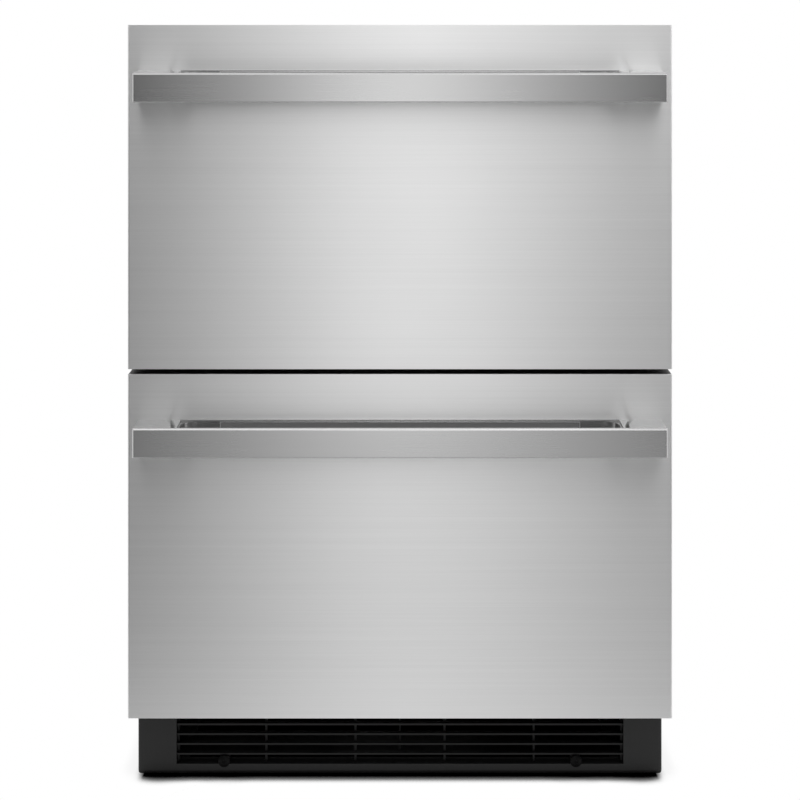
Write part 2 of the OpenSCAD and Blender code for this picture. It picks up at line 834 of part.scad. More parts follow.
// Fins on a serpentine of tubes. Tubes run along X; both free ends of the top row point to -X.
module finned_coil(length, fins, depth, height) {
  fin_t = 0.8;
  reach = length / 2 + coil_out;
  for (i = [0:fins - 1]) {
    translate([-length / 2 + i * (length - fin_t) / (fins - 1), -depth / 2, -height / 2])
      cube([fin_t, depth, height]);
  }
  for (c = [-0.5, 0.5], r = [0:coil_rows - 1]) {
    translate([0, c * coil_col, coil_top - r * coil_row]) rod_x(-reach, 2 * reach, tube_r);
    if (r < coil_rows - 1) {
      side = r % 2 == 0 ? 1 : -1;
      translate([side * reach, c * coil_col, coil_top - (r + 0.5) * coil_row]) rotate([90, side * 90, 0])
        hairpin(coil_row);
    }
  }
  translate([-reach, 0, -coil_top]) rotate([0, 0, 90]) hairpin(coil_col);
}

// A half-round return bend between two tubes, from +X round to -X.
module hairpin(pitch) {
  rotate_extrude(angle = 180) translate([pitch / 2, 0]) circle(tube_r);
}

// The condenser stands on two end plates that reach down to the base pan.
module condenser() {
  end_t = 1.5;
  end_lap = 0.2;
  depth = 2 * coil_col;
  end_y = condenser_len / 2 - end_lap;
  color(zinc_c) {
    translate([-condenser_x, mc_y, condenser_z]) rotate([0, 0, -90])
      finned_coil(condenser_len, condenser_fins, depth, condenser_h);
    for (y = [mc_y - end_y - end_t, mc_y + end_y]) {
      span([-condenser_x - depth / 2, y, pan_z],
        [-condenser_x + depth / 2, y + end_t, condenser_z + condenser_h / 2]);
    }
  }
}

// A plate with a round collar, and a bracket that carries the motor in the middle.
module condenser_fan_shroud() {
  plate = 2;
  collar = 20;
  gap = 3;
  strap_t = 4;
  strap_w = 16;
  r = fan_r + gap;
  strap_y = r + plate / 2;
  half = strap_y + strap_t + plate;
  z1 = mc_z1 - 6 * tube_r;
  color(black_c) {
    along_x(-shroud_x, plate) difference() {
      translate([mc_y - half, pan_z]) square([2 * half, z1 - pan_z]);
      translate([mc_y, fan_z]) circle(r);
    }
    translate([0, mc_y, fan_z]) difference() {
      rod_x(-shroud_x, collar, r + plate);
      rod_x(-shroud_x - eps, collar + 2 * eps, r);
    }
    for (y = [mc_y - strap_y - strap_t, mc_y + strap_y]) {
      span([-shroud_x, y, fan_z - strap_w / 2], [bracket_x, y + strap_t, fan_z + strap_w / 2]);
    }
    span([bracket_x - bracket_t, mc_y - strap_y - strap_t, fan_z - strap_w / 2],
      [bracket_x, mc_y + strap_y + strap_t, fan_z + strap_w / 2]);
  }
}

// The motor is fastened to the bracket and points its bearing at the blade.
module condenser_fan_motor() {
  nose_x = motor_x1 - motor_len - motor_nose;
  color(zinc_c) translate([0, mc_y, fan_z]) difference() {
    union() {
      rod_x(motor_x1 - motor_len, motor_len, motor_r);
      rod_x(nose_x, motor_nose + eps, motor_r / 2);
    }
    rod_x(nose_x - eps, shaft_in + eps, shaft_r + run_fit);
  }
}

// A fan with its shaft, its axis along Z and its hub's front at z = 0.
module axial_fan(tip_r, hub_r, hub_len, blades, tilt, shaft_len) {
  chord = 0.62 * tip_r;
  blade_t = 1.6;
  hub_wall = 3;
  difference() {
    union() {
      cylinder(h = hub_len, r = hub_r);
      intersection() {
        cylinder(h = hub_len, r = tip_r);
        for (i = [0:blades - 1]) {
          rotate([0, 0, i * 360 / blades]) translate([hub_r / 2, 0, hub_len / 2]) rotate([tilt, 0, 0])
            translate([0, 0, -blade_t / 2]) linear_extrude(blade_t)
              rounded([0, -chord / 2], [tip_r, chord / 2], chord / 4);
        }
      }
    }
    translate([0, 0, -eps]) cylinder(h = hub_len / 2, r = hub_r - hub_wall);
  }
  translate([0, 0, hub_len - eps]) cylinder(h = shaft_len + eps, r = shaft_r);
}

module condenser_fan_blade() {
  hub_gap = 2;
  x0 = motor_x1 - motor_len - motor_nose - hub_gap - blade_hub_len;
  color(black_c) translate([x0, mc_y, fan_z]) rotate([0, 90, 0])
    axial_fan(fan_r, 0.3 * fan_r, blade_hub_len, 5, 28, shaft_in);
}

// The tray that catches defrost water, between the condenser's end plates.
module drain_pan() {
  wall = 2;
  corner = 8;
  end_gap = 3;
  half = [drain_pan_w / 2, condenser_len / 2 - end_gap];
  color(dark_c) translate([-condenser_x, mc_y, pan_z]) difference() {
    along_z(0, drain_pan_h) rounded(-half, half, corner);
    along_z(wall, drain_pan_h) rounded([wall, wall] - half, half - [wall, wall], corner - wall);
  }
}

// Discharge, liquid and suction lines with the filter drier, as one brazed set.
module refrigerant_lines() {
  coil_y = mc_y + condenser_len / 2 + coil_out;
  coil_z = condenser_z + coil_top;
  hot_x = -condenser_x + coil_col / 2;
  liquid_x = -condenser_x - coil_col / 2;
  hot_turn_x = stub_x - 2 * line_bend;
  cold_turn_x = hot_turn_x - 2 * line_bend;
  cold_z = mc_z1 - 4 * tube_r;
  drier_x = -60;
  drier_len = 56;
  drier_z = pan_z + 24;
  cone = 8;
  thin_r = 1.2;
  thin_bend = 6;
  thin_z = drier_z + 70;
  evap_x = evap_len / 2 + coil_out;
  color(copper_c) {
    // Hot gas from the compressor to the condenser
    pipe([
      [stub_x, mc_y + stub_y, stub_z],
      [hot_turn_x, mc_y + stub_y, stub_z],
      [hot_turn_x, lines_y, stub_z],
      [hot_turn_x, lines_y, coil_z],
      [hot_x, lines_y, coil_z],
      [hot_x, coil_y, coil_z]
    ], tube_r, line_bend);
    // Liquid from the condenser to the drier
    pipe([
      [liquid_x, coil_y, coil_z],
      [liquid_x, lines_y, coil_z],
      [liquid_x, lines_y, drier_z],
      [drier_x + cone / 2, lines_y, drier_z]
    ], tube_r, line_bend);
    translate([drier_x, lines_y, drier_z]) rotate([0, 90, 0]) {
      cylinder(h = cone, r1 = tube_r + fit, r2 = drier_r);
      translate([0, 0, cone]) cylinder(h = drier_len - 2 * cone, r = drier_r);
      translate([0, 0, drier_len - cone]) cylinder(h = cone, r1 = drier_r, r2 = tube_r + fit);
    }
    // Thin capillary from the drier into the suction line, inside which it runs on
    pipe([
      [drier_x + drier_len - cone / 2, lines_y, drier_z],
      [cold_turn_x, lines_y, drier_z],
      [cold_turn_x, lines_y, thin_z],
      [cold_turn_x, mc_y - stub_y, thin_z]
    ], thin_r, thin_bend);
    // Cold gas from the evaporator down the back and to the compressor
    pipe([
      [evap_x, evap_y + coil_col / 2, suction_z],
      [suction_x, evap_y + coil_col / 2, suction_z],
      [suction_x, suction_y, suction_z],
      [suction_x, suction_y, cold_z],
      [cold_turn_x, suction_y, cold_z],
      [cold_turn_x, mc_y - stub_y, cold_z],
      [cold_turn_x, mc_y - stub_y, stub_z],
      [stub_x, mc_y - stub_y, stub_z]
    ], tube_r, line_bend);
    // The capillary comes out again beside the evaporator
    pipe([
      [evap_x, evap_y - coil_col / 2, suction_z],
      [evap_x + 3 * thin_bend, evap_y - coil_col / 2, suction_z],
      [evap_x + 3 * thin_bend, evap_y + coil_col / 2, suction_z]
    ], thin_r, thin_bend);
  }
}

// ---- Cold side -------------------------------------------------------------------------

module evaporator() {
  end_t = 1.5;
  seat = 0.2;
  fin_inset = 2;
  depth = 2 * coil_col - fin_inset;
  color(zinc_c) {
    translate([0, evap_y, evap_z]) rotate([0, 0, 180])
      finned_coil(evap_len, evap_fins, depth, evap_h);
    both_sides() span([evap_len / 2 - seat, evap_y - depth / 2, evap_z - evap_h / 2],
      [evap_len / 2 - seat + end_t, cav_y1, evap_z + evap_h / 2]);
  }
}

// The cover in front of the evaporator: intake slots below, a fan guard above.
module evaporator_cover() {
  side_gap = 6;
  foot_gap = 5;
  head_gap = 7;
  corner = 8;
  slot_rise = 14;
  fan_gap = 2;
  guard_w = 2.5;
  x1 = cav_x - side_gap;
  z0 = mullion_z1 + foot_gap;
  z1 = cav_z1 - head_gap;
  y0 = cav_y1 - evap_space;
  slots = 18;
  slot = [8, 30];
  pitch = 24;
  color(white_c) {
    along_y(y0, cover_t) difference() {
      rounded([-x1, z0], [x1, z1], corner);
      for (i = [0:slots - 1]) {
        translate([(i - (slots - 1) / 2) * pitch - slot[0] / 2, z0 + slot_rise]) square(slot);
      }
      translate([0, evap_fan_z]) difference() {
        circle(evap_fan_r + fan_gap);
        for (r = [0.25, 0.5, 0.75]) difference() {
          circle(r * evap_fan_r + guard_w / 2);
          circle(r * evap_fan_r - guard_w / 2);
        }
        for (a = [0, 60, 120]) rotate(a)
          square([2 * (evap_fan_r + fan_gap + guard_w), guard_w], center = true);
      }
    }
    along_y(y0 + cover_t, evap_space - cover_t - fit) difference() {
      rounded([-x1, z0], [x1, z1], corner);
      rounded([-x1 + cover_t, z0 + cover_t], [x1 - cover_t, z1 - cover_t], corner - cover_t);
    }
  }
}

module evaporator_fan_motor() {
  body_r = 20;
  strap_w = 12;
  strap_t = 3;
  shaft_gap = 2;
  color(dark_c) translate([0, 0, evap_fan_z]) difference() {
    union() {
      rod_y(cav_y1 - evap_motor_len, evap_motor_len, body_r);
      span([-evap_fan_r, cav_y1 - strap_t, -strap_w / 2], [evap_fan_r, cav_y1, strap_w / 2]);
    }
    rod_y(cav_y1 - evap_motor_len - eps, evap_motor_len / 2 + shaft_gap + eps, shaft_r + run_fit);
  }
}

module evaporator_fan_blade() {
  hub_len = 12;
  hub_gap = 2;
  hub_r = 0.32 * evap_fan_r;
  tip_gap = 2;
  blades = 5;
  tilt = 26;
  y0 = cav_y1 - evap_motor_len - hub_gap - hub_len;
  color(white_c) translate([0, y0, evap_fan_z]) rotate([-90, 0, 0])
    axial_fan(evap_fan_r - tip_gap, hub_r, hub_len, blades, tilt, hub_gap + evap_motor_len / 2);
}

// The control housing under the ceiling, with a display window and three button wells.
module control_housing() {
  window_depth = 1;
  window_inset = 14;
  corner = 5;
  well = button_out + button_travel + 5;
  window_x = -control_w / 2 + window_inset;
  color(white_c) difference() {
    along_z(control_z - control_h / 2, control_h)
      rounded([-control_w / 2, control_y], [control_w / 2, control_y + control_d], corner);
    for (i = [0:2]) translate([button_mid(i), 0, control_z])
      along_y(control_y - eps, well + eps) button_outline(fit);
    span([window_x, control_y - eps, control_z - display_h / 2],
      [window_x + display_w, control_y + window_depth, control_z + display_h / 2]);
  }
}

// Middle of each button across the housing.
function button_mid(i) = control_w / 2 - button_inset - i * button_pitch;

// A button's outline, grown by g.
module button_outline(g) {
  rounded([-button_w / 2 - g, -button_h / 2 - g], [button_w / 2 + g, button_h / 2 + g], button_corner + g);
}

module push_button(i) {
  seat = 4;
  color(grey_c) translate([button_mid(i), 0, control_z])
    along_y(control_y - button_out, button_out + seat) button_outline(0);
}

module light_lens() {
  corner = 6;
  color(lens_c) along_x(-light_w / 2, light_w)
    translate([cab_y0 + light_setback, cav_z1 - light_h]) intersection() {
      rounded([0, 0], [light_d, light_h + corner], corner);
      square([light_d, light_h]);
    }
}

// ---- Drawer slides ---------------------------------------------------------------------

// Slide sections are drawn on the right: u runs inwards from the liner, v upwards.
module slide_section(start, length, centre) {
  both_sides() translate([cav_x, 0, centre]) mirror([1, 0, 0]) along_y(start, length) children();
}

// A C-shaped section between two depths u, open towards the liner or away from it.
module channel(u0, u1, half, open_inward) {
  web = open_inward ? u0 : u1 - slide_t;
  translate([web, -half]) square([slide_t, 2 * half]);
  translate([u0, half - slide_t]) square([u1 - u0, slide_t]);
  translate([u0, -half]) square([u1 - u0, slide_t]);
}

module fixed_slides(centre) {
  color(zinc_c) slide_section(slide_y0, slide_len, centre) {
    channel(0, slide_w, outer_half, true);
    for (s = [0, 1]) mirror([0, s]) {
      translate([slide_w - slide_t, outer_half - slide_t - slide_lip]) square([slide_t, slide_lip]);
    }
  }
}

module middle_slides(centre) {
  u1 = slide_w - slide_t - slide_gap;
  color(bright_c) slide_section(slide_y0, slide_len, centre)
    channel(slide_t + slide_gap, u1, middle_half, true);
}

// The drawer members, the rails under the bin's rim, and the brackets on the inner panel.
module drawer_slides(centre, rim) {
  u0 = 2 * (slide_t + slide_gap);
  rail_u = slide_w + fit;
  pad_half = inner_half - slide_lip;
  rim_r = bin_r + rim_out;
  color(zinc_c) {
    slide_section(panel_y1, slide_y0 + slide_len - panel_y1, centre) {
      channel(u0, slide_w, inner_half, false);
      translate([slide_w - slide_t / 2, -pad_half]) square([slide_t + fit, 2 * pad_half]);
    }
    // The rail under the rim stands along its straight side, between the round corners
    slide_section(bin_y0 + rim_r, bin_d - 2 * rim_r, centre)
      translate([rail_u, -pad_half]) square([slide_t, rim - rim_t - centre + pad_half]);
    slide_section(panel_y1, 2 * slide_t, centre) translate([rail_u, -tab_h])
      square([tab_w, tab_h + pad_half]);
  }
}

// ---- Drawer fronts ---------------------------------------------------------------------

function front_low(i) = front_z0 + i * drawer_pitch;

module at_front(i) {
  translate([0, 0, front_low(i)]) children();
}

// The stainless sheet: a flat face with both sides folded back.
module front_skin(i) {
  end = cap_h + cap_recess;
  color(bright_c) at_front(i) {
    difference() {
      along_z(0, front_h) skin_plan();
      for (z = [-eps, front_h - end]) {
        span([-half_w - eps, front_y + skin_r, z], [half_w + eps, panel_y1, z + end + eps]);
      }
    }
  }
}

// The folded sheet seen from above.
module skin_plan() {
  intersection() {
    difference() {
      rounded([-half_w, front_y], [half_w, panel_y1 + 2 * skin_r], skin_r);
      rounded([-half_w + skin_t, front_y + skin_t], [half_w - skin_t, panel_y1 + 2 * skin_r],
        skin_r - skin_t);
    }
    translate([-half_w, front_y]) square([unit_w, panel_y0 - front_y]);
  }
}

// The black caps that close the front's top and bottom.
module front_caps(i) {
  inset = 0.4;
  color(dark_c) at_front(i) for (z = [cap_recess, front_h - cap_recess - cap_h]) {
    along_z(z, cap_h) front_fill(inset);
  }
}

// The space behind the sheet's flat face, inset at both sides.
module front_fill(inset) {
  translate([-half_w + inset, front_y + skin_r]) square([unit_w - 2 * inset, panel_y0 - front_y - skin_r]);
  translate([-half_w + skin_r, front_y + skin_t]) square([unit_w - 2 * skin_r, skin_r]);
}

module front_core(i) {
  z0 = cap_recess + cap_h;
  color(foam_c) at_front(i) along_z(z0, front_h - 2 * z0) front_fill(skin_t);
}

// A ring between the front's outline inset by a and inset by b.
module front_ring(a, b) {
  difference() {
    rounded([-half_w + a, a], [half_w - a, front_h - a], panel_r);
    rounded([-half_w + b, b], [half_w - b, front_h - b], panel_r);
  }
}

module front_panel(i) {
  inset = 0.5;
  mid = gasket_inset + gasket_w / 2;
  color(white_c) at_front(i) difference() {
    along_y(panel_y0, panel_t) rounded([-half_w + inset, inset], [half_w - inset, front_h - inset], panel_r);
    along_y(panel_y1 - dart_d, dart_d + eps) front_ring(mid - dart_w / 2, mid + dart_w / 2);
  }
}

// The gasket: a dart in the panel's groove, a foot, a narrow bellows and a sealing bulb.
module gasket(i) {
  mid = gasket_inset + gasket_w / 2;
  foot = 2.5;
  bulb = 4;
  reach = gasket_t - fit;
  color(dark_c) at_front(i) {
    along_y(panel_y1 - dart_d + fit, dart_d + foot / 2)
      front_ring(mid - dart_w / 2 + fit, mid + dart_w / 2 - fit);
    along_y(panel_y1, foot) front_ring(gasket_inset, gasket_inset + gasket_w);
    along_y(panel_y1 + foot / 2, reach - foot) front_ring(gasket_inset + 3, gasket_inset + gasket_w - 3);
    along_y(panel_y1 + reach - bulb, bulb) front_ring(gasket_inset + 0.5, gasket_inset + gasket_w - 0.5);
  }
}

// ---- Handles -----------------------------------------------------------------------------

module at_handle(i) {
  translate([0, 0, front_low(i) + front_h - handle_drop - handle_h]) children();
}

// The front bar, bevelled along its front edges.
module handle_bar(i) {
  b = bar_bevel;
  low = bar_bevel_low;
  half = handle_w / 2;
  color(bright_c) at_handle(i) intersection() {
    along_x(-half, handle_w) polygon([
      [bar_y1, 0], [bar_y1, handle_h], [bar_y0 + b, handle_h],
      [bar_y0, handle_h - b], [bar_y0, low], [bar_y0 + low, 0]
    ]);
    along_z(0, handle_h) polygon([
      [-half, bar_y1], [-half, bar_y0 + b], [-half + b, bar_y0],
      [half - b, bar_y0], [half, bar_y0 + b], [half, bar_y1]
    ]);
  }
}

// An upright outline between the bar and the drawer front, with its top rising to the front.
module rising_top() {
  top = handle_h + block_rise;
  intersection() {
    along_z(0, top) children();
    along_x(0, half_w) polygon([[bar_y1, -eps], [front_y, -eps], [front_y, top], [bar_y1, handle_h]]);
  }
}

// End blocks with a curved inner side, and the tapered posts across a slot from them.
module handle_ends(i) {
  centre = [block_x0 + block_side_r, bar_y1];
  depth = front_y - bar_y1;
  dimple_y = dimple_dia * 0.7;
  dimple_top = handle_h + block_rise * dimple_y / depth;
  dimple_r = (dimple_dia * dimple_dia / 4 + dimple_depth * dimple_depth) / (2 * dimple_depth);
  color(bright_c) at_handle(i) both_sides() {
    difference() {
      rising_top() intersection() {
        translate([block_x0, bar_y1]) square([block_w, depth]);
        translate(centre) circle(block_side_r, $fn = 180);
      }
      translate([(block_x0 + block_x1) / 2, bar_y1 + dimple_y, dimple_top + dimple_r - dimple_depth])
        sphere(r = dimple_r, $fn = 96);
    }
    rising_top() difference() {
      translate([post_x0, bar_y1]) square([block_w / 2, depth]);
      translate(centre) circle(block_side_r + slot_w, $fn = 180);
    }
  }
}

// The back rail, scooped out into a thin web at each end that meets the bar.
module handle_rail(i) {
  depth = front_y - bar_y1;
  web_x0 = web_x1 - web_t;
  recess_x = grip_w / 2 + fit;
  color(bright_c) at_handle(i) difference() {
    union() {
      span([-web_x1, rail_y0, 0], [web_x1, front_y, handle_h + rail_rise]);
      both_sides() along_z(0, handle_h) {
        translate([web_x0, bar_y1]) square([web_t, depth - rail_t / 2]);
        translate([web_x0 - scoop_r, rail_y0 - scoop_r]) difference() {
          square([scoop_r + web_t / 2, scoop_r + rail_t / 2]);
          circle(scoop_r, $fn = 96);
        }
      }
    }
    span([-recess_x, rail_y0 - eps, grip_z0 - fit],
      [recess_x, rail_y0 + grip_seat, grip_z0 + grip_h + fit]);
  }
}

module handle_grip(i) {
  color(grey_c) at_handle(i) span([-grip_w / 2, rail_y0 + grip_seat - grip_t, grip_z0],
    [grip_w / 2, rail_y0 + grip_seat, grip_z0 + grip_h]);
}

// ---- Drawer bins -------------------------------------------------------------------------

// A bin's outline in plan, from its rim's front inwards by inset, back to a depth.
module bin_plan(inset, depth, r) {
  rounded([-bin_x - rim_out + inset, bin_y0 + inset], [bin_x + rim_out - inset, bin_y0 + depth - inset], r);
}

// A bin whose floor may step up behind a given depth.
module drawer_bin(floor_z, rear_floor_z, front_depth, rim) {
  inner = rim_out + bin_wall;
  rib = [2.5, 2];
  color(white_c) {
    difference() {
      union() {
        along_z(floor_z, rim - floor_z) bin_plan(rim_out, front_depth + rim_out, bin_r);
        along_z(rear_floor_z, rim - rear_floor_z) bin_plan(rim_out, bin_d, bin_r);
        along_z(rim - rim_t, rim_t) bin_plan(0, bin_d, bin_r + rim_out);
        along_z(rim - rim_lip_h, rim_lip_h) difference() {
          bin_plan(0, bin_d, bin_r + rim_out);
          bin_plan(bin_wall, bin_d, bin_r + rim_out - bin_wall);
        }
      }
      along_z(floor_z + bin_floor_t, rim) bin_plan(inner, front_depth + rim_out, bin_r - bin_wall);
      along_z(rear_floor_z + bin_floor_t, rim) bin_plan(inner, bin_d, bin_r - bin_wall);
    }
    for (i = [1:bin_ribs]) {
      y = bin_y0 + i * (front_depth - rim_out) / (bin_ribs + 1);
      span([-bin_x + bin_r, y, floor_z + bin_floor_t - 0.5],
        [bin_x - bin_r, y + rib[0], floor_z + bin_floor_t + rib[1]]);
    }
  }
}

module upper_bin() {
  drawer_bin(upper_floor, upper_floor, bin_d - rim_out, upper_rim);
}

module lower_bin() {
  drawer_bin(lower_floor, lower_rear_floor, lower_step_y - bin_y0, lower_rim);
}

// A plate across the upper bin that hooks over both rims and slides along them.
module upper_divider() {
  y = bin_y0 + divider_pos;
  x1 = bin_x - bin_wall - fit;
  hook_x = bin_x + rim_out - fit;
  foot_gap = 3;
  window_rise = 40;
  corner = 12;
  z0 = upper_floor + bin_floor_t + foot_gap;
  z1 = upper_rim + fit;
  pitch = (2 * x1 - divider_web) / divider_windows;
  window_w = pitch - divider_web;
  color(grey_c) {
    along_y(y - divider_t / 2, divider_t) difference() {
      translate([-x1, z0]) square([2 * x1, z1 - z0 + hook_t / 2]);
      for (i = [0:divider_windows - 1]) {
        translate([-x1 + divider_web + i * pitch, z0 + window_rise])
          rounded([0, 0], [window_w, divider_window_h], corner);
      }
    }
    span([-hook_x, y - hook_len / 2, z1], [hook_x, y + hook_len / 2, z1 + hook_t]);
  }
}

// ---- Placed nodes ------------------------------------------------------------------------

cabinet_wrapper();
back_panel();
cabinet_foam();
inner_liner();
front_frame();
base_frame();
kick_panel();
kick_grille();
grille_screws();
rear_cover();
cord_gland();
compressor();
compressor_mounts();
condenser();
condenser_fan_shroud();
condenser_fan_motor();
condenser_fan_blade();
drain_pan();
refrigerant_lines();
evaporator();
evaporator_cover();
evaporator_fan_motor();
evaporator_fan_blade();
control_housing();
push_button(0);  // warmer_button
push_button(1);  // colder_button
push_button(2);  // light_button
light_lens();
leg(-1, leg_front_y);  // levelling_leg_front_left
leg(1, leg_front_y);  // levelling_leg_front_right
leg(-1, leg_rear_y);  // levelling_leg_rear_left
leg(1, leg_rear_y);  // levelling_leg_rear_right
fixed_slides(upper_slide_z);  // upper_fixed_slides
middle_slides(upper_slide_z);  // upper_middle_slides
drawer_slides(upper_slide_z, upper_rim);  // upper_drawer_slides
fixed_slides(lower_slide_z);  // lower_fixed_slides
middle_slides(lower_slide_z);  // lower_middle_slides
drawer_slides(lower_slide_z, lower_rim);  // lower_drawer_slides
front_skin(1);  // upper_front_skin
front_caps(1);  // upper_front_caps
front_core(1);  // upper_front_core
front_panel(1);  // upper_front_panel
gasket(1);  // upper_gasket
upper_bin();
upper_divider();
handle_bar(1);  // upper_handle_bar
handle_ends(1);  // upper_handle_ends
handle_rail(1);  // upper_handle_rail
handle_grip(1);  // upper_handle_grip
front_skin(0);  // lower_front_skin
front_caps(0);  // lower_front_caps
front_core(0);  // lower_front_core
front_panel(0);  // lower_front_panel
gasket(0);  // lower_gasket
lower_bin();
handle_bar(0);  // lower_handle_bar
handle_ends(0);  // lower_handle_ends
handle_rail(0);  // lower_handle_rail
handle_grip(0);  // lower_handle_grip
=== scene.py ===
"""Undercounter drawer refrigerator: finishes, fine pieces, studio and camera.

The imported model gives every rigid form. This script dresses each of its nodes, adds the fine
pieces that are too small for it, and sets the pale studio in which the object stands.
"""

from __future__ import annotations

import logging
import math
from dataclasses import dataclass
from enum import Enum
from typing import ClassVar, Iterable, Mapping, Sequence

import bmesh
import bpy
from mathutils import Matrix, Vector

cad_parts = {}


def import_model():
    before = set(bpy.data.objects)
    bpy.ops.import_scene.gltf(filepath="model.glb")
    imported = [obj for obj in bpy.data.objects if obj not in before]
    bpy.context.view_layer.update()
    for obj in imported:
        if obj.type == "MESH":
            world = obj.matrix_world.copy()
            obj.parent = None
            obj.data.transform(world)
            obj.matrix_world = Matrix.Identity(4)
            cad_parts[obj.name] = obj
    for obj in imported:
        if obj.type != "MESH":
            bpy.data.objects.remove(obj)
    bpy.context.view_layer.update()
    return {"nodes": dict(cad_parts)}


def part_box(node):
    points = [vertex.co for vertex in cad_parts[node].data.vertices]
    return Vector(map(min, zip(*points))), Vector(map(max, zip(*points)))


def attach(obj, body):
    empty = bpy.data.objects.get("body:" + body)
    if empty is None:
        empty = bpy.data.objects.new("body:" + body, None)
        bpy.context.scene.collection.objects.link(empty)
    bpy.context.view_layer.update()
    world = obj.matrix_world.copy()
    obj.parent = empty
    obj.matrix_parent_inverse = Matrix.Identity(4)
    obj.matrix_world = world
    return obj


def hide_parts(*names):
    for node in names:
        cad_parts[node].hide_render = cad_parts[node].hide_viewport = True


LOG = logging.getLogger("refrigerator")
MM = 0.001

Colour = tuple[float, float, float]
Number = int | float
Stops = Sequence[tuple[float, float]]

WHITE: Colour = (1.0, 1.0, 1.0)
BLACK: Colour = (0.0, 0.0, 0.0)


# ---- Shader maths ------------------------------------------------------------------------------


class Value:
    """A number that varies over a surface: an output socket with Python's operators."""

    def __init__(self, bench: Bench, socket: bpy.types.NodeSocket) -> None:
        """Wraps an output socket of a node on the bench."""
        self.bench = bench
        self.socket = socket

    def _math(self, operation: str, first: Value | Number, second: Value | Number) -> Value:
        """Adds a Math node and wraps what it gives."""
        return self.bench.value("ShaderNodeMath", {"operation": operation}, {0: first, 1: second})

    def __add__(self, other: Value | Number) -> Value:
        """The sum."""
        return self._math("ADD", self, other)

    def __radd__(self, other: Number) -> Value:
        """The sum with a number on the left."""
        return self._math("ADD", other, self)

    def __sub__(self, other: Value | Number) -> Value:
        """The difference."""
        return self._math("SUBTRACT", self, other)

    def __rsub__(self, other: Number) -> Value:
        """The difference from a number on the left."""
        return self._math("SUBTRACT", other, self)

    def __mul__(self, other: Value | Number) -> Value:
        """The product."""
        return self._math("MULTIPLY", self, other)

    def __rmul__(self, other: Number) -> Value:
        """The product with a number on the left."""
        return self._math("MULTIPLY", other, self)

    def __abs__(self) -> Value:
        """The value without its sign."""
        return self.bench.value("ShaderNodeMath", {"operation": "ABSOLUTE"}, {0: self})

    def below(self, limit: Number) -> Value:
        """1 where the value is below a limit, else 0."""
        return self._math("LESS_THAN", self, limit)

    def clamped(self) -> Value:
        """The value held between 0 and 1."""
        return self.bench.value("ShaderNodeClamp", {}, {"Value": self})

    def swing(self) -> Value:
        """The value less a half, so that a noise swings round 0."""
        return self - 0.5


Operand = Value | Number | Sequence[Number] | bpy.types.NodeSocket


